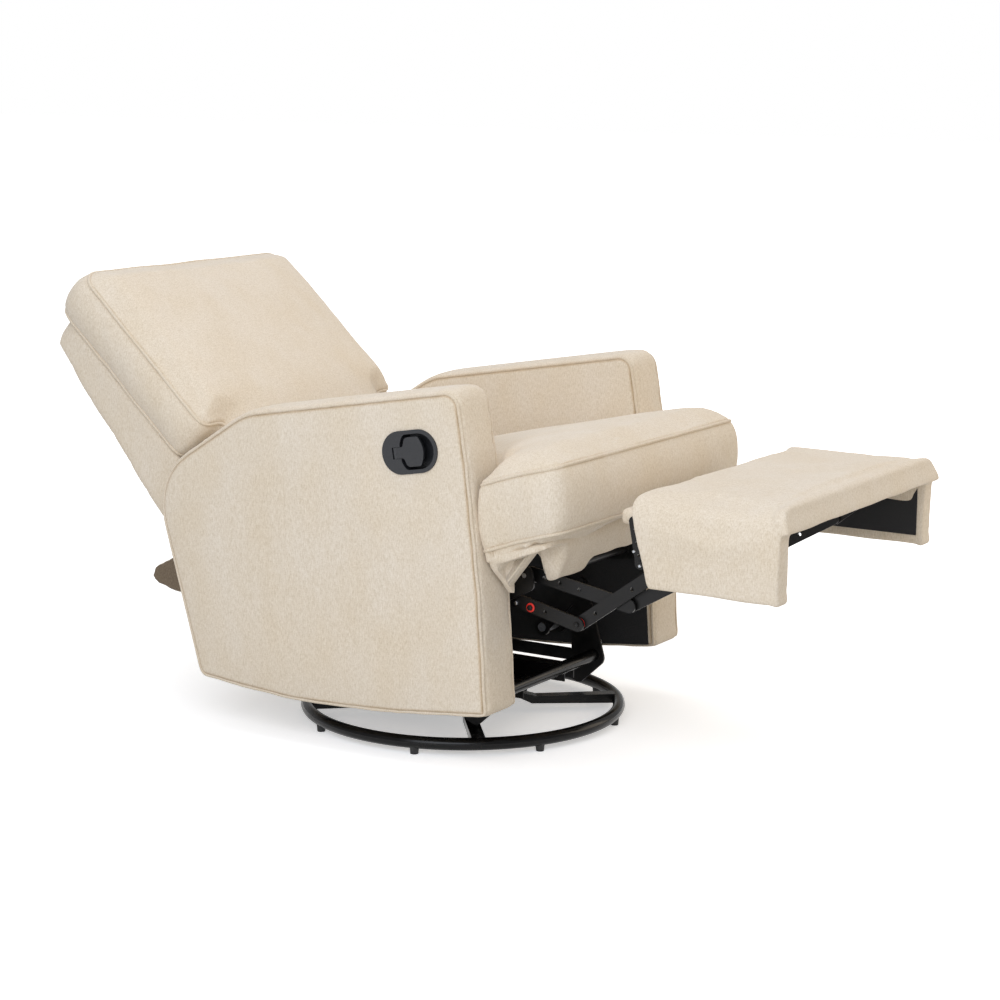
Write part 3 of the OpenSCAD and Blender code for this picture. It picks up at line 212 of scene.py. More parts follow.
def bare_metal(name, tone, stain, rough, grain):
    """Plated steel with faint stains, some duller than others."""
    made, tree, shader = material(name)
    marks = grains(tree, (0, 0, 0), grain, 4.0)
    tones = ramp(tree, marks, [(0.35, tone), (0.75, stain)])
    shine = ramp(tree, marks, [(0.3, rough), (0.75, rough + 0.15)])
    tree.links.new(tones.outputs[0], shader.inputs["Base Color"])
    tree.links.new(shine.outputs[0], shader.inputs["Roughness"])
    shader.inputs["Metallic"].default_value = 1.0
    return made


def moulded_plastic(name, tone, fleck, rough, grain=0.9 * MM, strength=0.5):
    """ABS or nylon from a spark-eroded mould: a fine leathery grain."""
    made, tree, shader = material(name)
    skin = grains(tree, (0, 0, 0), (grain, grain, grain), 2.0)
    tones = ramp(tree, skin, [(0.4, tone), (0.68, fleck)])
    bumped(tree, shader, skin, strength, 0.25 * MM)
    tree.links.new(tones.outputs[0], shader.inputs["Base Color"])
    shader.inputs["Roughness"].default_value = rough
    return made


def raw_wood(name):
    """Sawn hardwood of the hidden frame, with its grain across the chair."""
    made, tree, shader = material(name)
    rings = grains(tree, (0, 0, 0), (90 * MM, 6 * MM, 6 * MM), 5.0)
    tones = ramp(tree, rings, [(0.35, "#a9804f"), (0.65, "#cda670")])
    tree.links.new(tones.outputs[0], shader.inputs["Base Color"])
    shader.inputs["Roughness"].default_value = 0.75
    return made


WHITE = (1, 1, 1, 1)
FLOOR_SIZE, FLOOR_DROP = 60, 0.2 * MM   # the glides stand just clear of it
GLOW_NEAR, GLOW_FAR = 0.42, 1.0         # the paper's own glow under the chair and far away
GLOW_FROM, GLOW_TO = 1.0, 3.0           # and the distances between which it rises
WORLD_GLOW = 0.46
# (name, place, size, watts, tint): a key from the handle's side, a warm fill from the front, a
# large one above
LAMPS = (
    ("key_softbox", (-3.2, -1.0, 2.0), 2.6, 76, "#f0f5ff"),
    ("fill_softbox", (2.0, -2.2, 1.4), 2.0, 25, "#ffeed6"),
    ("top_softbox", (0.2, 0.6, 3.6), 2.8, 38, "#fbfaff"),
)
LAMP_TARGET = (0, -0.1, 0.4)


def emptied_tree(owner, output):
    """The owner's node tree with nothing in it but an output and a light path."""
    owner.use_nodes = True
    tree = owner.node_tree
    tree.nodes.clear()
    out = node(tree, output)
    return tree, out.inputs["Surface"], node(tree, "ShaderNodeLightPath").outputs


def add_floor():
    """White paper that keeps the chair's shadow."""
    bpy.ops.mesh.primitive_plane_add(size=FLOOR_SIZE, location=(0, 0, -FLOOR_DROP))
    floor = bpy.context.object
    floor.name = "studio_floor"
    made = bpy.data.materials.new("white_paper_floor")
    tree, surface, paths = emptied_tree(made, "ShaderNodeOutputMaterial")
    seen = math_node(tree, "MAXIMUM", paths["Is Camera Ray"], paths["Is Glossy Ray"])
    tone = blended(tree, "MIX", seen, srgb("#d6d4d0"), WHITE)
    paper = node(tree, "ShaderNodeBsdfDiffuse", {"Color": tone})
    # the paper glows more away from the chair, so its shadow shows and the far floor is white
    place = node(tree, "ShaderNodeTexCoord").outputs["Object"]
    away = node(tree, "ShaderNodeVectorMath", {0: place}, operation="LENGTH").outputs["Value"]
    rise = node(tree, "ShaderNodeMapRange", {"Value": away, "From Min": GLOW_FROM,
                "From Max": GLOW_TO, "To Min": GLOW_NEAR, "To Max": GLOW_FAR})
    lift = math_node(tree, "MULTIPLY", seen, rise.outputs[0])
    glow = node(tree, "ShaderNodeEmission", {"Color": WHITE, "Strength": lift})
    both = node(tree, "ShaderNodeAddShader", {0: paper.outputs[0], 1: glow.outputs[0]})
    tree.links.new(both.outputs[0], surface)
    floor.data.materials.append(made)


def add_world():
    """A world that is seen white and lights less."""
    world = bpy.data.worlds.new("studio_world")
    bpy.context.scene.world = world
    tree, surface, paths = emptied_tree(world, "ShaderNodeOutputWorld")
    seen = math_node(tree, "MAXIMUM", paths["Is Camera Ray"], paths["Is Transmission Ray"])
    dim = node(tree, "ShaderNodeBackground", {"Color": WHITE, "Strength": WORLD_GLOW})
    white = node(tree, "ShaderNodeBackground", {"Color": WHITE, "Strength": 1.0})
    pick = node(tree, "ShaderNodeMixShader", {0: seen, 1: dim.outputs[0], 2: white.outputs[0]})
    tree.links.new(pick.outputs[0], surface)


def add_lamps():
    """The soft lamps, and plain tones in the picture."""
    for name, place, size, power, tint in LAMPS:
        data = bpy.data.lights.new(name, "AREA")
        data.shape, data.size, data.energy = "SQUARE", size, power
        data.color = srgb(tint)[:3]
        lamp = bpy.data.objects.new(name, data)
        bpy.context.scene.collection.objects.link(lamp)
        aim = (Vector(LAMP_TARGET) - Vector(place)).to_track_quat("-Z", "Y")
        lamp.matrix_world = Matrix.Translation(place) @ aim.to_matrix().to_4x4()
    bpy.context.scene.view_settings.view_transform = "Standard"


# ---------------------------------------------------------------- mesh helpers
def select_only(obj):
    """Makes the piece the only one that operators work on."""
    bpy.ops.object.select_all(action="DESELECT")
    obj.select_set(True)
    bpy.context.view_layer.objects.active = obj


def points_of(obj):
    """The piece's points as an array, one row each."""
    found = np.empty(len(obj.data.vertices) * 3)
    obj.data.vertices.foreach_get("co", found)
    return found.reshape(-1, 3)


def normals_of(obj):
    """The piece's normals at its points."""
    found = np.empty(len(obj.data.vertices) * 3)
    obj.data.vertex_normals.foreach_get("vector", found)
    return found.reshape(-1, 3)


def move_points(obj, where):
    """Puts the piece's points at the rows of an array."""
    obj.data.vertices.foreach_set("co", np.ascontiguousarray(where).reshape(-1))
    obj.data.update()


def apply(obj, kind, **settings):
    """Adds a modifier and applies it."""
    select_only(obj)
    added = obj.modifiers.new(kind.title(), kind)
    for name, value in settings.items():
        setattr(added, name, value)
    bpy.ops.object.modifier_apply(modifier=added.name)


def edit_all(obj, work, **settings):
    """Runs one mesh operator on the whole piece."""
    select_only(obj)
    bpy.ops.object.mode_set(mode="EDIT")
    bpy.ops.mesh.select_all(action="SELECT")
    work(**settings)
    bpy.ops.object.mode_set(mode="OBJECT")


def bake_transform(obj):
    """Leaves the piece at the origin, unrotated and unscaled."""
    select_only(obj)
    bpy.ops.object.transform_apply(location=True, rotation=True, scale=True)


def copy_of(source, name):
    """A CAD node's shape as a new piece, its loose triangles joined."""
    obj = bpy.data.objects.new(name, NODES[source].data.copy())
    bpy.context.scene.collection.objects.link(obj)
    obj.matrix_world = NODES[source].matrix_world
    obj.data.materials.clear()
    edit_all(obj, bpy.ops.mesh.remove_doubles, threshold=1e-5)
    bake_transform(obj)
    return obj


def remesh(obj, voxel, smooth):
    """An even mesh over the piece's solid, its steps smoothed away."""
    select_only(obj)
    obj.data.remesh_voxel_size = voxel
    bpy.ops.object.voxel_remesh()
    apply(obj, "SMOOTH", factor=0.5, iterations=smooth)


def distance_to(points, *paths):
    """Each point's distance to the nearest of some closed polylines."""
    best = np.full(len(points), np.inf)
    for path in paths:
        path = np.asarray(path)
        for a, b in zip(path, np.roll(path, -1, 0)):
            d = b - a
            t = np.clip(((points - a) @ d) / max(d @ d, 1e-12), 0, 1)
            best = np.minimum(best, np.linalg.norm(points - a - t[:, None] * d, axis=1))
    return best


PUFF_FRAMES = 20


def puff(obj, held, pressure, cap, loose=None):
    """The cover swells between its seams like air-filled cloth; no point moves past cap.

    loose gives each point the share of its move that it keeps.
    """
    start = points_of(obj)
    pins = obj.vertex_groups.new(name="seams")
    pins.add([int(i) for i in np.flatnonzero(held)], 1.0, "REPLACE")
    cloth = obj.modifiers.new("Cloth", "CLOTH")
    feel = cloth.settings
    feel.quality = 4
    feel.mass = 0.25
    feel.tension_stiffness = feel.compression_stiffness = 18
    feel.shear_stiffness = 8
    feel.bending_stiffness = 1.2
    feel.use_pressure = True
    feel.uniform_pressure_force = pressure
    feel.effector_weights.gravity = 0
    feel.vertex_group_mass = pins.name
    cloth.point_cache.frame_start, cloth.point_cache.frame_end = 1, PUFF_FRAMES
    scene = bpy.context.scene
    for number in range(1, PUFF_FRAMES + 1):
        scene.frame_set(number)
    select_only(obj)
    bpy.ops.object.modifier_apply(modifier=cloth.name)
    scene.frame_set(1)
    moved = points_of(obj) - start
    reach = np.linalg.norm(moved, axis=1, keepdims=True) + 1e-9
    if loose is not None:
        moved = moved * loose[:, None]
    move_points(obj, start + moved * cap * np.tanh(reach / cap) / reach)
    obj.vertex_groups.clear()


def step(value, start, span):
    """A smooth step from 0 at start to 1 at start + span."""
    share = np.clip((value - start) / span, 0, 1)
    return share * share * (3 - 2 * share)


def local_points(obj, matrix):
    """The piece's points in one of the frames above."""
    inward = np.array(matrix.inverted())
    return points_of(obj) @ inward[:3, :3].T + inward[:3, 3]


def local_normals(obj, matrix):
    """The piece's normals in one of the frames above."""
    return normals_of(obj) @ np.array(matrix.inverted())[:3, :3].T


def place_points(obj, matrix, local):
    """Puts the piece's points at places given in one of the frames above."""
    outward = np.array(matrix)
    move_points(obj, local @ outward[:3, :3].T + outward[:3, 3])


def divide(obj):
    """Splits every face of the cover smoothly in four."""
    apply(obj, "SUBSURF", levels=1, render_levels=1)


SEAM_WIDTH, SHADE_WIDTH = 5 * MM, 3.2 * MM


def sew(obj, seams, depth=2.0 * MM, shaded=None):
    """Pulls the cover in along its seams, and marks the bands beside them where the material paints
    shade.
    """
    points, normals = points_of(obj), normals_of(obj)
    near = distance_to(points, *seams)
    dark = distance_to(points, *shaded) if shaded else near
    # painted shade: how near each point lies to the shaded lines, read by the fabric's material as
    # a darker band
    mark(obj, "painted_seam_shade", np.exp(-((dark / SHADE_WIDTH) ** 2)))
    pull = np.exp(-((near / SEAM_WIDTH) ** 2))
    move_points(obj, points - normals * (depth * pull)[:, None])


WAVES_COUNT = 7
WAVES_SPREAD = 3.6      # brings their sum to about -1 to 1


def waves(points, length, seed):
    """Smooth pseudo-random heights from -1 to 1, a few sines deep, fixed by the seed."""
    rng = np.random.default_rng(seed)
    total = np.zeros(len(points))
    for _ in range(WAVES_COUNT):
        direction = rng.normal(size=3)
        direction /= np.linalg.norm(direction)
        k = direction * 2 * math.pi / (length * rng.uniform(0.7, 1.4))
        total += np.sin(points @ k + rng.uniform(0, 2 * math.pi))
    return total / WAVES_SPREAD


def pucker(obj, seams, height, length, reach, seed):
    """Short gathers that run out from the seams and fade into the panel."""
    points, normals = points_of(obj), normals_of(obj)
    near = distance_to(points, *seams)
    strength = (near / (0.3 * reach)).clip(0, 1) * np.exp(-near / reach)
    lift = waves(points, length, seed) * strength * height
    move_points(obj, points + normals * lift[:, None])


def rumple(obj, height, length, seed):
    """Slow unevenness of a stuffed panel."""
    points, normals = points_of(obj), normals_of(obj)
    lift = waves(points, length, seed) * height
    move_points(obj, points + normals * lift[:, None])


def finish(obj, body, slot, look, *replaced):
    """Gives the piece its material, hangs it on its body, and hides the CAD nodes it replaces."""
    obj.data.materials.append(look)
    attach(obj, body)
    if replaced:
        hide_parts(*replaced)


def finish_soft(obj, body, source, look):
    select_only(obj)
    bpy.ops.object.shade_smooth()
    finish(obj, body, "cream_fabric", look, source)


FILLET_STEPS = 8


def fillet(corners):
    """A closed outline from (x, y, radius) corners, each rounded to its radius."""
    made = []
    count = len(corners)
    for i, (x, y, radius) in enumerate(corners):
        here = np.array((x, y))
        if radius <= 0:
            made.append(here)
            continue
        before = np.array(corners[i - 1][:2]) - here
        after = np.array(corners[(i + 1) % count][:2]) - here
        u, v = before / np.linalg.norm(before), after / np.linalg.norm(after)
        half = math.acos(np.clip(u @ v, -1, 1)) / 2
        middle = (u + v) / np.linalg.norm(u + v)
        centre = here + middle * radius / math.sin(half)
        p, q = (here + w * radius / math.tan(half) - centre for w in (u, v))
        start = math.atan2(p[1], p[0])
        sweep = (math.atan2(q[1], q[0]) - start + 3 * math.pi) % (2 * math.pi) - math.pi
        for k in range(FILLET_STEPS + 1):
            a = start + sweep * k / FILLET_STEPS
            made.append(centre + radius * np.array((math.cos(a), math.sin(a))))
    return made


def mirrored(half):
    """A whole outline from its right half, which runs from the axis back to the axis."""
    return half + [(-x, y, r) for x, y, r in reversed(half) if x > 0]


def even(path, spacing):
    """The closed path with points about spacing apart."""
    path = [np.asarray(p, float) for p in path]
    made = []
    for a, b in zip(path, path[1:] + path[:1]):
        parts = max(1, math.ceil(np.linalg.norm(b - a) / spacing))
        made += [a + (b - a) * k / parts for k in range(parts)]
    return made


def placed(matrix, points):
    """Places of a frame, as the world's."""
    return [np.array(matrix @ Vector(p)) for p in points]


SEAM_STEP = 10 * MM         # between the points of a cushion's seam
PIPING_STEP = 7 * MM        # between the points that the piping is bent through
PROUD = 0.35 * PIPING_R     # how far the piping's core stands off the cover


def welt(name, seam, surface, body, source):
    """Piping: a cord in a sleeve of the cover, seated along a closed seam of the surface."""
    tree = BVHTree.FromObject(surface, bpy.context.evaluated_depsgraph_get())
    seated = []
    for p in even(seam, PIPING_STEP):
        where, normal, _, _ = tree.find_nearest(Vector(p))
        seated.append(np.array(where + normal * PROUD))
    for _ in range(3):
        seated = (np.roll(seated, 1, 0) + 2 * np.array(seated) + np.roll(seated, -1, 0)) / 4
    curve = bpy.data.curves.new(name, "CURVE")
    curve.dimensions = "3D"
    curve.bevel_depth, curve.bevel_resolution, curve.use_fill_caps = PIPING_R, 3, True
    line = curve.splines.new("POLY")
    line.points.add(len(seated) - 1)
    for point, where in zip(line.points, seated):
        point.co = (*where, 1)
    line.use_cyclic_u = True
    obj = bpy.data.objects.new(name, curve)
    bpy.context.scene.collection.objects.link(obj)
    select_only(obj)
    bpy.ops.object.convert(target="MESH")
    obj = bpy.context.object
    bpy.ops.object.shade_smooth()
    finish(obj, body, "cream_piping", WELT_CLOTH, source)


# ---------------------------------------------------------------- finishes
def turn_for(matrix):
    """The mapping turn that lays a pattern's Z along the frame's own Z."""
    return tuple(matrix.to_3x3().inverted().to_euler("XYZ"))


FABRIC = woven_fabric("woven_chenille_upright", turn_for(CHAIR))
FABRIC_SEAT_TOP = woven_fabric("woven_chenille_seat", turn_for(SEAT @ LAID))
FABRIC_BACK = woven_fabric("woven_chenille_back", turn_for(BACK @ LAID))
FABRIC_FOOT = woven_fabric("woven_chenille_footrest", turn_for(LAID))
WELT_CLOTH = woven_fabric("piping_sleeve", turn_for(CHAIR),
                          "#cfc1ab", "#dbcebb", "#e6dccb", 4 * MM)
DARK_END_CLOTH = woven_fabric("dark_taupe_end_cloth", turn_for(CHAIR),
                          "#67594a", "#766857", "#857766", 5 * MM)
GLOSS_BLACK = coated_steel("gloss_black_enamel", "#060606", "#0e0e0e", 0.14, 5 * MM, 0.04)
SATIN_BLACK = coated_steel("black_powder_coat", "#0e0d0d", "#191817", 0.3, 3 * MM, 0.08)
ZINC = bare_metal("zinc_plated_steel", "#b6b9bd", "#8f9296", 0.3, (5 * MM, 5 * MM, 5 * MM))
CHROME = bare_metal("nickel_chrome", "#dcdddf", "#c4c6c9", 0.08, (20 * MM, 20 * MM, 20 * MM))
GLIDE = moulded_plastic("nylon_glide", "#151515", "#222222", 0.5)
HANDLE = moulded_plastic("grained_abs", "#141518", "#25262a", 0.48)
RED = moulded_plastic("red_nylon", "#d4190e", "#e8382a", 0.35, 2 * MM, 0.1)
LINING = moulded_plastic("black_nonwoven", "#0e0e0f", "#1d1d1f", 0.85, 1.6 * MM, 0.6)
WOOD = raw_wood("sawn_hardwood")


# ---------------------------------------------------------------- seat cushion
SEAT_EAR = (0.328, 0.1615)      # half width and depth of the T's bar
SEAT_NECK = 0.256               # half width behind the bar
SEAT_LENGTH = 0.630
SEAT_BOXING = 0.118             # height between the two seams
SEAT_LEAN = 0.155               # how far the front leans ahead, per height
SEAM_HOLD = 7 * MM              # how near a seam the cover is held while it swells
# the CAD pattern sags towards the ears, and behind them the sag fades again
EAR_SAG = 9 * MM
SAG_WIDTH, SAG_FADE = 0.06, 0.07
# the stuffed ears reach further out and droop to their rear ends
EAR_REACH = 22 * MM
EAR_DROOP, EAR_DROOP_POWER = 11 * MM, 2.2
EAR_STRETCH = 2.5 * MM
EAR_REAR = SEAT_EAR[1] + EAR_STRETCH
EAR_BELLY = 19 * MM             # how far the foam hangs below the ears' lower seam
# (width, depth, squareness) of the stuffed ears' corners
EAR_FRONT_CORNER = (0.055, 0.046, 2.7)
EAR_REAR_CORNER = (0.03, 0.026, 9)
SEAT_LIFT, SEAT_LIFT_RAMP = 22 * MM, 0.055
SEAT_BOW = 6 * MM


def squared(u, v, power):
    """Pushes a round corner out towards a square one.

    u and v run from 0 to 1 across the corner. Returns how much further each of them gets.
    """
    inside = (u > 0) & (v > 0)
    a, b = np.where(inside, u, 1), np.where(inside, v, 1)
    grow = np.where(inside, np.hypot(a, b) / (a ** power + b ** power) ** (1 / power), 1)
    return (grow - 1) * a * inside, (grow - 1) * b * inside


def sag_share(x, along):
    """How far towards an ear each place is, and its share of the pattern's sag."""
    across = ((np.abs(x) - SEAT_NECK + SAG_WIDTH) / SAG_WIDTH).clip(0, 1)
    return across, across * np.where(along <= SEAT_EAR[1], along / SEAT_EAR[1],
                                     1 - (along - SEAT_EAR[1]) / SAG_FADE).clip(0, 1)


def seat_shape(local):
    """The stuffed cushion against the sewn pattern, in the seat's frame.

    The ears reach further out than the pattern, their corners are full, and their rear ends
    droop. The cover and its seams both pass through here, so they stay together.
    """
    local = local.copy()
    side = np.sign(local[:, 0])
    along = local[:, 1] + SEAT_LEAN * local[:, 2]
    x = np.abs(local[:, 0])
    out = step(x, INNER_X, 0.05) * (1 - step(along, 0.19, 0.03))
    across, sag = sag_share(x, along)
    droop = across * np.where(along <= EAR_REAR,
                              (along / EAR_REAR).clip(0, 1) ** EAR_DROOP_POWER,
                              (1 - (along - EAR_REAR) / SAG_FADE).clip(0, 1))
    local[:, 2] += EAR_SAG * sag - EAR_DROOP * droop
    local[:, 0] += side * EAR_REACH * out
    local[:, 1] += EAR_STRETCH * out * step(along, 0.1, 0.05)
    along = local[:, 1] + SEAT_LEAN * local[:, 2]
    x = np.abs(local[:, 0])
    edge = SEAT_EAR[0] + EAR_REACH
    width, depth, power = EAR_FRONT_CORNER
    out, ahead = squared((x - edge + width) / width, (depth - along) / depth, power)
    local[:, 0] += side * width * out
    local[:, 1] -= depth * ahead
    width, depth, power = EAR_REAR_CORNER
    out, back = squared((x - edge + width) / width, (along - EAR_REAR + depth) / depth, power)
    local[:, 0] += side * width * out
    local[:, 1] += depth * back
    return local


def seat_seam(height):
    """The pattern's seam at one height, in the seat's frame."""
    half = [(0, 0, 0), (SEAT_EAR[0], 0, 0.046), (*SEAT_EAR, 0.022), (SEAT_NECK, SEAT_EAR[1], 0.012),
            (SEAT_NECK, SEAT_LENGTH, 0.040), (0, SEAT_LENGTH, 0)]
    x, y = np.array(even(fillet(mirrored(half)), SEAM_STEP)).T
    return np.column_stack((x, y - SEAT_LEAN * height, height - EAR_SAG * sag_share(x, y)[1]))


def make_seat():
    """The T-shaped seat cushion with its two rows of piping."""
    obj = copy_of("seat_cushion", "seat_cushion_cover")
    remesh(obj, voxel=10 * MM, smooth=3)
    seams = [placed(SEAT, seat_seam(h)) for h in (0.0, SEAT_BOXING)]
    held = distance_to(points_of(obj), *seams) < SEAM_HOLD
    behind = local_points(obj, SEAT)[:, 1] > 0.52
    puff(obj, held | behind, pressure=4.0, cap=16 * MM)
    divide(obj)
    place_points(obj, SEAT, seat_shape(local_points(obj, SEAT)))
    seams = [placed(SEAT, seat_shape(seat_seam(h))) for h in (0.0, SEAT_BOXING)]
    # the front boxing bows out, and the top is stuffed high from its seam up
    local, facing = local_points(obj, SEAT), local_normals(obj, SEAT)
    bow = ((1 - (2 * local[:, 2] / SEAT_BOXING - 1) ** 2).clip(0, 1)
           * (1 - step(local[:, 1], 0.03, 0.06)))
    local[:, :2] += facing[:, :2] * (SEAT_BOW * bow)[:, None]
    rise = (step(distance_to(points_of(obj), seams[1]), 0, SEAT_LIFT_RAMP)
            * (1 - step(local[:, 1], 0.45, 0.08)))
    local[:, 2] += SEAT_LIFT * rise * step(local[:, 2], SEAT_BOXING - 5 * MM, 9 * MM)
    place_points(obj, SEAT, local)
    pucker(obj, seams, height=0.8 * MM, length=18 * MM, reach=30 * MM, seed=5)
    rumple(obj, height=0.9 * MM, length=0.16, seed=8)
    # the foam under each ear hangs below the lower seam
    local = local_points(obj, SEAT)
    x = np.abs(local[:, 0])
    under = step(-local[:, 2], 2 * MM, 7 * MM)
    ears = (step(x, 0.06, 0.24)
            * (1 - step(local[:, 1], 0.07, 0.08) * (1 - step(x, 0.245, 0.02))))
    local[:, 2] -= EAR_BELLY * under * ears
    place_points(obj, SEAT, local)
    sew(obj, seams)
    finish_soft(obj, "chair", "seat_cushion", FABRIC)
    obj.data.materials.append(FABRIC_SEAT_TOP)
    up = SEAT.to_3x3() @ Vector((0, 0, 1))
    for face in obj.data.polygons:
        if abs(face.normal.dot(up)) > 0.72:
            face.material_index = 1
    for name, seam in (("seat_lower_piping", seams[0]), ("seat_upper_piping", seams[1])):
        welt(name, seam, obj, "chair", "seat_piping")


# ---------------------------------------------------------------- back
BACK_SEAMS = (-0.050, 0.040)    # heights of the rear and the front seam
BOXING_BOW = 8 * MM
BACK_LIFT, BACK_LIFT_RAMP = 22 * MM, 0.05
SHELL_RISE, SHELL_DEPTH = 27 * MM, 11 * MM


def back_seam(height):
    """The T-shaped seam at one height, in the world's frame."""
    half = [(0, 0, 0), (0.233, 0, 0.008), (0.233, 0.068, 0.006), (0.256, 0.068, 0.006),
            (0.256, 0.204, 0.010), (0.320, 0.204, 0.024), (0.320, 0.612, 0.044), (0, 0.608, 0)]
    return placed(BACK, [(x, y, height) for x, y in even(fillet(mirrored(half)), SEAM_STEP)])


def make_back():
    """The T-shaped back cushion with its piping, and the padded outer back."""
    obj = copy_of("back_cushion", "back_cushion_cover")
    remesh(obj, voxel=10 * MM, smooth=3)
    seams = [back_seam(height) for height in BACK_SEAMS]
    held = distance_to(points_of(obj), *seams) < SEAM_HOLD
    low = local_points(obj, BACK)[:, 1] < 0.012
    puff(obj, held | low, pressure=4.0, cap=14 * MM)
    divide(obj)
    # the boxing bows out between its two seams
    local, facing = local_points(obj, BACK), local_normals(obj, BACK)
    middle, half = sum(BACK_SEAMS) / 2, (BACK_SEAMS[1] - BACK_SEAMS[0]) / 2
    bow = ((1 - ((local[:, 2] - middle) / half) ** 2).clip(0, 1)
           * step(local[:, 1], 0.21, 0.05))
    local[:, :2] += facing[:, :2] * (BOXING_BOW * bow)[:, None]
    # and the front panel is stuffed high, but not where it goes down between the arms
    rise = (step(distance_to(points_of(obj), seams[1]), 0, BACK_LIFT_RAMP)
            * step(local[:, 1], 0.08, 0.17))
    local[:, 2] += BACK_LIFT * rise * step(local[:, 2], BACK_SEAMS[1], 6 * MM)
    place_points(obj, BACK, local)
    pucker(obj, seams, height=0.9 * MM, length=20 * MM, reach=34 * MM, seed=11)
    rumple(obj, height=1.2 * MM, length=0.15, seed=12)
    sew(obj, seams)
    finish_soft(obj, "back", "back_cushion", FABRIC_BACK)
    for name, seam in (("back_rear_piping", seams[0]), ("back_front_piping", seams[1])):
        welt(name, seam, obj, "back", "back_piping")

    shell = copy_of("outer_back", "outer_back_cover")
    remesh(shell, voxel=10 * MM, smooth=5)
    divide(shell)
    # its wadding carries it up behind the cushion and out to the rear
    local = local_points(shell, BACK)
    local[:, 1] += SHELL_RISE * step(local[:, 1], 0.30, 0.27)
    local[:, 2] -= (SHELL_DEPTH * step(-local[:, 2], 0.075, 0.03)
                    * (1 - 0.5 * step(local[:, 1], 0.45, 0.1)))
    place_points(shell, BACK, local)
    rumple(shell, height=0.8 * MM, length=0.14, seed=21)
    finish_soft(shell, "back", "outer_back", FABRIC_BACK)


# ---------------------------------------------------------------- arms
ARM_FRONT, ARM_LENGTH, ARM_BOTTOM, ARM_HEIGHT = -0.277, 0.690, 0.088, 0.570
# the arm's outline: shares of its length and height, and each corner's radius in millimetres
ARM_SHARES = ((0.012, 0, 9), (-0.004, 0.37, 0), (-0.005, 0.76, 0), (0.003, 1.002, 30),
              (0.684, 0.965, 150), (1.019, 0.773, 120), (0.929, 0.112, 18), (0.794, 0.076, 150),
              (0.623, 0.037, 180), (0.457, 0.0175, 180), (0.293, 0.005, 180))
ARM_SEAM_INSET = 3 * MM
ARM_SHADE_INSET = 6.5 * MM
ARM_CROWN = 5 * MM
# the release handle's housing: its centre, its slope in degrees, and the hole it needs
HANDLE_SPOT = (-HALF_W, -0.166, 0.561)
HANDLE_SLOPE = -2.8
HOLE_RADIUS, HOLE_STRETCH, HOLE_DEPTH = 35 * MM, 20 * MM, 60 * MM
HOLE_MARGIN = 0.085             # around it the cover is held while it swells


def stuffed(y, z):
    """Where a point of the arm's outline lies once the arm is stuffed, in the chair's frame."""
    return (y - 3 * MM + 13 * MM * (y - ARM_FRONT) / ARM_LENGTH,
            z - 9 * MM + 17 * MM * (z - ARM_BOTTOM) / ARM_HEIGHT)


def arm_seam(x, inset=ARM_SEAM_INSET):
    """The stuffed arm's outline at one x, drawn in by the inset, in the world's frame."""
    corners = [(ARM_FRONT + a * ARM_LENGTH, ARM_BOTTOM + b * ARM_HEIGHT, r * MM)
               for a, b, r in ARM_SHARES]
    spots = [np.array(c[:2]) for c in corners]
    drawn_in = []
    for i, (_, _, radius) in enumerate(corners):
        before = spots[i] - spots[i - 1]
        after = spots[(i + 1) % len(spots)] - spots[i]
        m = np.array((before[1], -before[0])) / np.linalg.norm(before)
        k = np.array((after[1], -after[0])) / np.linalg.norm(after)
        here = spots[i] + (m + k) * inset / (1 + m @ k)
        drawn_in.append((here[0], here[1], max(radius - inset, 2 * MM) if radius else 0))
    return placed(CHAIR, [(x, *stuffed(p[0], p[1])) for p in even(fillet(drawn_in), 9 * MM)])


def cut_handle_hole(obj):
    """Opens the near arm for the release handle's housing."""
    bpy.ops.mesh.primitive_cylinder_add(vertices=64, radius=HOLE_RADIUS, depth=HOLE_DEPTH)
    cutter = bpy.context.object
    spots = points_of(cutter)
    spots[:, 0] += np.sign(spots[:, 0]) * HOLE_STRETCH
    move_points(cutter, spots)
    cutter.data.transform(CHAIR @ Matrix.Translation(HANDLE_SPOT)
                          @ Matrix.Rotation(math.radians(HANDLE_SLOPE), 4, "X")
                          @ Matrix.Rotation(math.radians(90), 4, "Z") @ LAID)
    apply(obj, "BOOLEAN", object=cutter, operation="DIFFERENCE", solver="EXACT")
    bpy.data.objects.remove(cutter)


def crown_top(obj, height):
    """Stuffs the arm's top panel up between its two seams."""
    points, normals = points_of(obj), normals_of(obj)
    across = (np.abs(points[:, 0]) - (HALF_W + INNER_X) / 2) / ((HALF_W - INNER_X) / 2)
    lift = (1 - across ** 2).clip(0, 1) * ((normals[:, 2] - 0.3) / 0.5).clip(0, 1) * height
    points[:, 2] += lift
    move_points(obj, points)


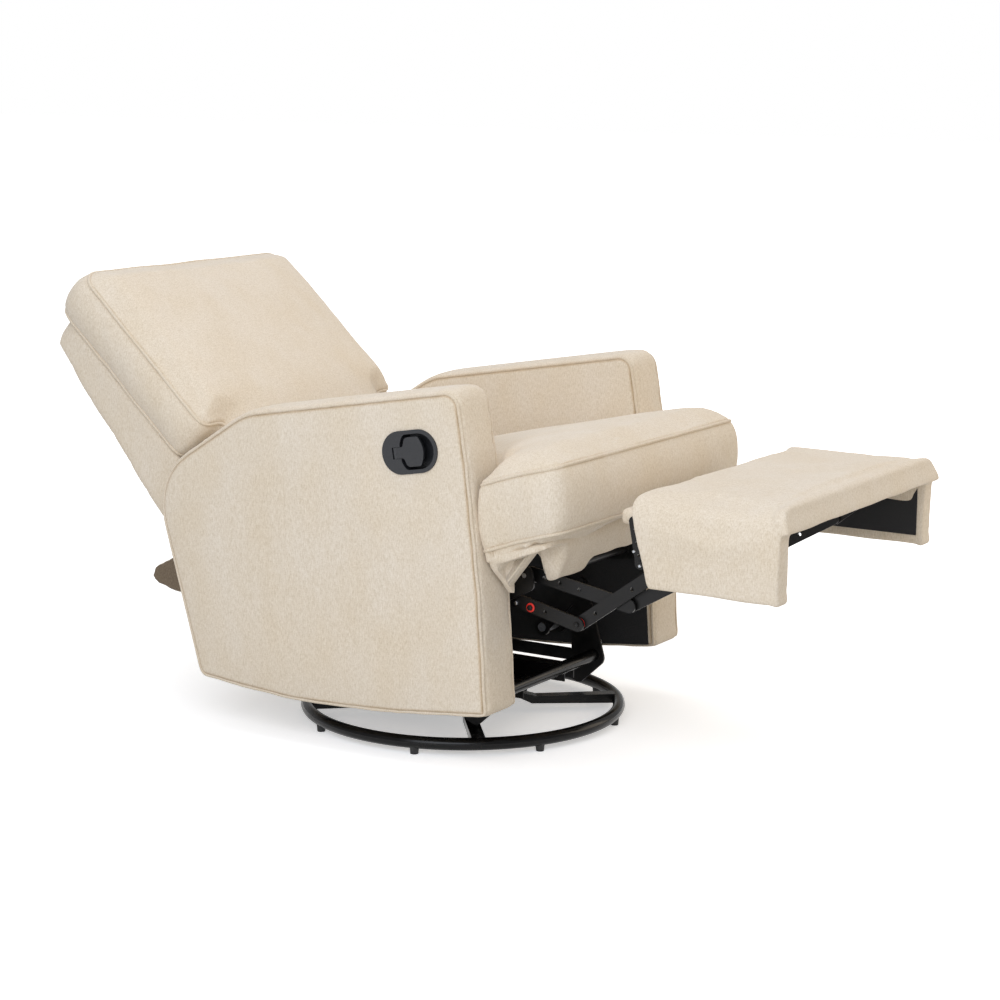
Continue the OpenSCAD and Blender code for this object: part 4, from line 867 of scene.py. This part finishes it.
def make_arm(side):
    """A padded arm with its piping; both are made from the left one's solid."""
    sign = -1 if side == "right" else 1
    obj = copy_of("arm_left", f"arm_cover_{side}")
    if side == "right":
        obj.data.transform(Matrix.Scale(-1, 4, (1, 0, 0)))
        edit_all(obj, bpy.ops.mesh.normals_make_consistent, inside=False)
    remesh(obj, voxel=9 * MM, smooth=2)
    local = local_points(obj, CHAIR)
    local[:, 1], local[:, 2] = stuffed(local[:, 1], local[:, 2])
    place_points(obj, CHAIR, local)
    seams = [arm_seam(sign * (HALF_W - 3 * MM)), arm_seam(sign * (INNER_X + 3 * MM))]
    points = points_of(obj)
    held = distance_to(points, *seams) < 8 * MM
    held |= np.abs(points[:, 0]) < INNER_X + 4 * MM
    if side == "right":
        hollow = placed(CHAIR, [HANDLE_SPOT])[0]
        held |= np.linalg.norm(points - hollow, axis=1) < HOLE_MARGIN
    puff(obj, held, pressure=2.5, cap=5 * MM)
    divide(obj)
    crown_top(obj, ARM_CROWN)
    pucker(obj, seams, height=0.3 * MM, length=22 * MM, reach=24 * MM, seed=31)
    # the painted seam shade lies a little inside each panel, past its seam
    shaded = [arm_seam(sign * x, ARM_SHADE_INSET) for x in (HALF_W, INNER_X)]
    sew(obj, seams, depth=1.6 * MM, shaded=shaded)
    if side == "right":
        cut_handle_hole(obj)
    finish_soft(obj, "chair", f"arm_{side}", FABRIC)
    for face, seam in zip(("outer", "inner"), seams):
        welt(f"arm_{face}_piping_{side}", seam, obj, "chair", f"arm_piping_{side}")


def finish_lining(obj, body, source, edge):
    """The black cloth of a lining, its cut edges turned over a little."""
    apply(obj, "BEVEL", width=edge, segments=2, limit_method="ANGLE")
    finish(obj, body, "black_lining", LINING, source)


def make_arm_linings():
    """The black cloth inside the arms, stretched as far as the stuffed arms reach."""
    obj = copy_of("arm_linings", "arm_lining_cloth")
    local = local_points(obj, CHAIR)
    local[:, 1], local[:, 2] = stuffed(local[:, 1], local[:, 2])
    local[:, 2] -= 7 * MM * (1 - step(local[:, 2], 0.1, 0.15))
    place_points(obj, CHAIR, local)
    finish_lining(obj, "chair", "arm_linings", edge=0.5 * MM)


# ---------------------------------------------------------------- rail and skirt
# the rail's wings spread across the arms' fronts, hang lower there, and have round corners
WING_SPREAD, WING_DROP, WING_RADIUS = 24 * MM, 10 * MM, 0.045
# rear edge of a side flap when the footrest is folded, in the chair's frame: (y, z) of its ends
FOLDED_FLAP = ((-0.4602, 0.3797), (-0.3118, 0.3412))
FLAP_ROOM_UP, FLAP_ROOM_BACK = 12 * MM, 7 * MM


def spread_wings(obj):
    """Spreads the rail's ends and turns them round the ears' front corners."""
    local = local_points(obj, CHAIR)
    ahead = 1 - step(local[:, 1], ARM_FRONT - 12 * MM, 8 * MM)
    local[:, 0] += (np.sign(local[:, 0]) * WING_SPREAD * ahead
                    * step(np.abs(local[:, 0]), 0.235, 0.03))
    local[:, 2] -= WING_DROP * step(np.abs(local[:, 0]), 0.29, 0.06)
    place_points(obj, CHAIR, local)
    local = local_points(obj, SEAT)
    front, edge, r = local[:, 1].min(), np.abs(local[:, 0]).max(), WING_RADIUS
    u = ((np.abs(local[:, 0]) - edge + r) / r).clip(0, None)
    v = ((front + r - local[:, 1] - SEAT_LEAN * local[:, 2]) / r).clip(0, None)
    shrink = np.where((u > 0) & (v > 0), np.maximum(u, v) / (np.hypot(u, v) + 1e-9), 1)
    local[:, 0] += np.sign(local[:, 0]) * (shrink - 1) * u * r
    local[:, 1] -= (shrink - 1) * v * r
    place_points(obj, SEAT, local)


def clear_folded_flaps(obj):
    """Presses the wings back from where the footrest's flaps come when it is folded."""
    local = local_points(obj, CHAIR)
    (front_y, front_z), (rear_y, rear_z) = FOLDED_FLAP
    slope = (rear_z - front_z) / (rear_y - front_y)
    up = front_z + (local[:, 1] - front_y) * slope + FLAP_ROOM_UP - local[:, 2]
    back = rear_y + FLAP_ROOM_BACK - local[:, 1]
    inside = step(np.abs(local[:, 0]), 0.268, 0.012) * ((up > 0) & (back > 0))
    local[:, 2] += np.where(up <= back, up, 0) * inside
    local[:, 1] += np.where(up > back, back, 0) * inside
    place_points(obj, CHAIR, local)


def make_rail():
    """The padded front rail under the seat."""
    obj = copy_of("front_rail", "front_rail_cover")
    remesh(obj, voxel=7 * MM, smooth=3)
    divide(obj)
    # the cushion rests on the rail, so its top is pressed up against the cushion's seam
    local = local_points(obj, SEAT)
    local[:, 2] += step(local[:, 2], -0.05, 0.035) * 9 * MM
    place_points(obj, SEAT, local)
    spread_wings(obj)
    clear_folded_flaps(obj)
    rumple(obj, height=1.2 * MM, length=0.06, seed=41)
    finish_soft(obj, "chair", "front_rail", FABRIC)


def make_skirt():
    """The rear skirt, its end faces coloured dark taupe."""
    obj = copy_of("rear_skirt", "rear_skirt_cover")
    remesh(obj, voxel=8 * MM, smooth=3)
    divide(obj)
    rumple(obj, height=1.2 * MM, length=0.09, seed=43)
    finish_soft(obj, "chair", "rear_skirt", FABRIC)
    # the faces at the skirt's two ends get a dark taupe cloth
    obj.data.materials.append(DARK_END_CLOTH)
    for face in obj.data.polygons:
        if abs(face.normal[0]) > 0.8:
            face.material_index = 1


# ---------------------------------------------------------------- footrest
# the rear corners stand out over the side flaps, less at the bottom than at the top
CORNER_LOW, CORNER_HIGH = 5 * MM, 14 * MM
LIP_SQUARENESS, FLAP_SQUARENESS = 5, 4
LIP_SHEAR = 16 * MM         # how far the top falls back behind the lip's lower edge
FLAP_DROP, FLAP_SPREAD = 6 * MM, 3 * MM
LINING_SETBACK = 16 * MM    # keeps the lining's front behind the stuffed lip


def footrest_shape(local):
    """The stuffed footrest against its pattern, in the footrest's frame."""
    x, away, high = np.abs(local[:, 0]), -local[:, 1], local[:, 2]
    behind = 1 - step(away + high * 0.2, 0.02, 0.05)
    corner = CORNER_LOW + (CORNER_HIGH - CORNER_LOW) * step(high, -0.15, 0.13)
    corner = corner * behind * step(x, 0.23, 0.06)
    # the front edge stands square and then falls away to its lip, the flaps' corners are full
    ahead, up = squared((away - 0.252) / 0.038, (high + 0.036) / 0.04, LIP_SQUARENESS)
    away, high = away + 0.038 * ahead, high + 0.04 * up
    ahead, down = squared((away - 0.256) / 0.02, (-high - 0.13) / 0.02, FLAP_SQUARENESS)
    away, high = away + 0.02 * ahead, high - 0.02 * down
    away = away - LIP_SHEAR * step(high, -0.036, 0.036) * step(away, 0.235, 0.05)
    high = high - FLAP_DROP * step(-high, 0.10, 0.04)
    wide = local[:, 0] + np.sign(local[:, 0]) * FLAP_SPREAD * step(x, 0.28, 0.03)
    return np.column_stack((wide, corner - away, high))


def make_footrest():
    """The padded footrest and the black cloth inside it."""
    obj = copy_of("footrest_pad", "footrest_pad_cover")
    remesh(obj, voxel=6 * MM, smooth=2)
    local = local_points(obj, FOOT)
    loose = step(local[:, 2], -0.11, 0.1) * (1 - 0.8 * step(-local[:, 1], 0.25, 0.03))
    puff(obj, local[:, 2] < -0.12, pressure=3.0, cap=9 * MM, loose=loose)
    divide(obj)
    place_points(obj, FOOT, footrest_shape(local_points(obj, FOOT)))
    rumple(obj, height=0.8 * MM, length=0.11, seed=51)
    finish_soft(obj, "footrest", "footrest_pad", FABRIC_FOOT)
    lining = copy_of("footrest_lining", "footrest_lining_cloth")
    local = local_points(lining, FOOT)
    local[:, 1] += LINING_SETBACK * (local[:, 1] < -0.2)
    place_points(lining, FOOT, local)
    finish_lining(lining, "footrest", "footrest_lining", edge=0.6 * MM)


def make_middle_pad():
    """The small pad between seat and footrest."""
    obj = copy_of("middle_pad", "middle_pad_cover")
    remesh(obj, voxel=7 * MM, smooth=3)
    divide(obj)
    rumple(obj, height=0.5 * MM, length=0.06, seed=53)
    finish_soft(obj, "middle_ottoman", "middle_pad", FABRIC_FOOT)


# ---------------------------------------------------------------- steel and plastic
def outer_face(source, sign):
    """How far out from the middle a CAD node reaches on one side."""
    box = NODES[source]
    return max(sign * (box.matrix_world @ Vector(c))[0] for c in box.bound_box)


def disc(radius, thick, sides, bevel):
    """A chamfered disc or hexagon, with its axis along X."""
    bpy.ops.mesh.primitive_cylinder_add(vertices=sides, radius=radius, depth=thick)
    made = bpy.context.object
    edit_all(made, bpy.ops.mesh.bevel, offset=bevel, segments=2, affect="EDGES")
    made.data.transform(Matrix.Rotation(math.radians(90), 4, "Y"))
    return made


def hardware(model, name, place, body, slot, look):
    """Sets a copy of a small turned part in its place in the chair's frame."""
    obj = bpy.data.objects.new(name, model.data.copy())
    bpy.context.scene.collection.objects.link(obj)
    obj.data.transform(CHAIR @ Matrix.Translation(place))
    select_only(obj)
    bpy.ops.object.shade_smooth_by_angle(angle=math.radians(35))
    finish(obj, body, slot, look)


HEAD_HEIGHT, HEAD_CHAMFER = 4 * MM, 0.7 * MM
WASHER_RADIUS, WASHER_THICKNESS, WASHER_CHAMFER = 8.5 * MM, 1.6 * MM, 0.4 * MM
SLOT_OF = {SATIN_BLACK: "black_steel", CHROME: "chrome", ZINC: "zinc"}
# (name, node it sits on, y and z in the chair's frame, body, millimetres over flats, material,
# red washer)
BOLTS = (
    ("drive_link_bolt", "drive_links", -0.3077, 0.2574, "drive_link_pair", 10,
     SATIN_BLACK, True),
    ("drive_link_stud", "drive_links", -0.2780, 0.2660, "drive_link_pair", 8, CHROME, False),
    ("drive_link_end_bolt", "drive_links", -0.4000, 0.2262, "drive_link_pair", 9,
     SATIN_BLACK, False),
    ("middle_bracket_bolt", "middle_brackets", -0.5270, 0.3570, "middle_ottoman", 5,
     ZINC, False),
    ("middle_bracket_stud", "middle_brackets", -0.5360, 0.3310, "middle_ottoman", 5,
     ZINC, False),
)


def make_bolts():
    """The bolt heads of the linkage, modelled once each and copied to both sides."""
    ring = disc(WASHER_RADIUS, WASHER_THICKNESS, 32, WASHER_CHAMFER)
    for name, source, y, z, body, across, look, washer in BOLTS:
        head = disc(across * MM / 2 / math.cos(math.pi / 6), HEAD_HEIGHT, 6, HEAD_CHAMFER)
        for side, sign in (("right", -1), ("left", 1)):
            x = outer_face(source, sign)
            if washer:
                hardware(ring, f"{name}_washer_{side}", (sign * (x + WASHER_THICKNESS / 2), y, z),
                         body, "red_nylon", RED)
                x += WASHER_THICKNESS
            hardware(head, f"{name}_{side}", (sign * (x + HEAD_HEIGHT / 2), y, z), body,
                     SLOT_OF[look], look)
        bpy.data.objects.remove(head)
    bpy.data.objects.remove(ring)


CAD_LOOKS = {
    GLOSS_BLACK: ("base_ring", "base_spider", "front_cross_tube", "rear_cross_tube"),
    SATIN_BLACK: ("swivel_plate", "frame_rails", "glide_towers", "front_glide_links",
                  "rear_glide_links", "side_plates", "back_brackets", "front_links", "drive_links",
                  "torque_tube", "ottoman_links", "tie_links", "footrest_brackets",
                  "middle_brackets"),
    ZINC: ("lower_race", "king_bolt", "glide_axles", "linkage_pins", "tower_bolts",
           "seat_springs", "extension_springs"),
    CHROME: ("bearing_balls",),
    GLIDE: ("floor_glides",),
    HANDLE: ("handle_housing", "release_lever"),
    RED: ("nylon_washers",),
    WOOD: ("seat_frame", "rear_rail"),
}


def finish_cad_nodes():
    """Gives the CAD's hard nodes their materials; their shapes stay as packed."""
    for look, names in CAD_LOOKS.items():
        for name in names:
            mesh = NODES[name].data
            mesh.materials.clear()
            mesh.materials.append(look)


add_camera()
add_floor()
add_world()
add_lamps()
finish_cad_nodes()
make_bolts()
make_arm_linings()
make_seat()
make_back()
make_arm("right")
make_arm("left")
make_rail()
make_skirt()
make_footrest()
make_middle_pad()
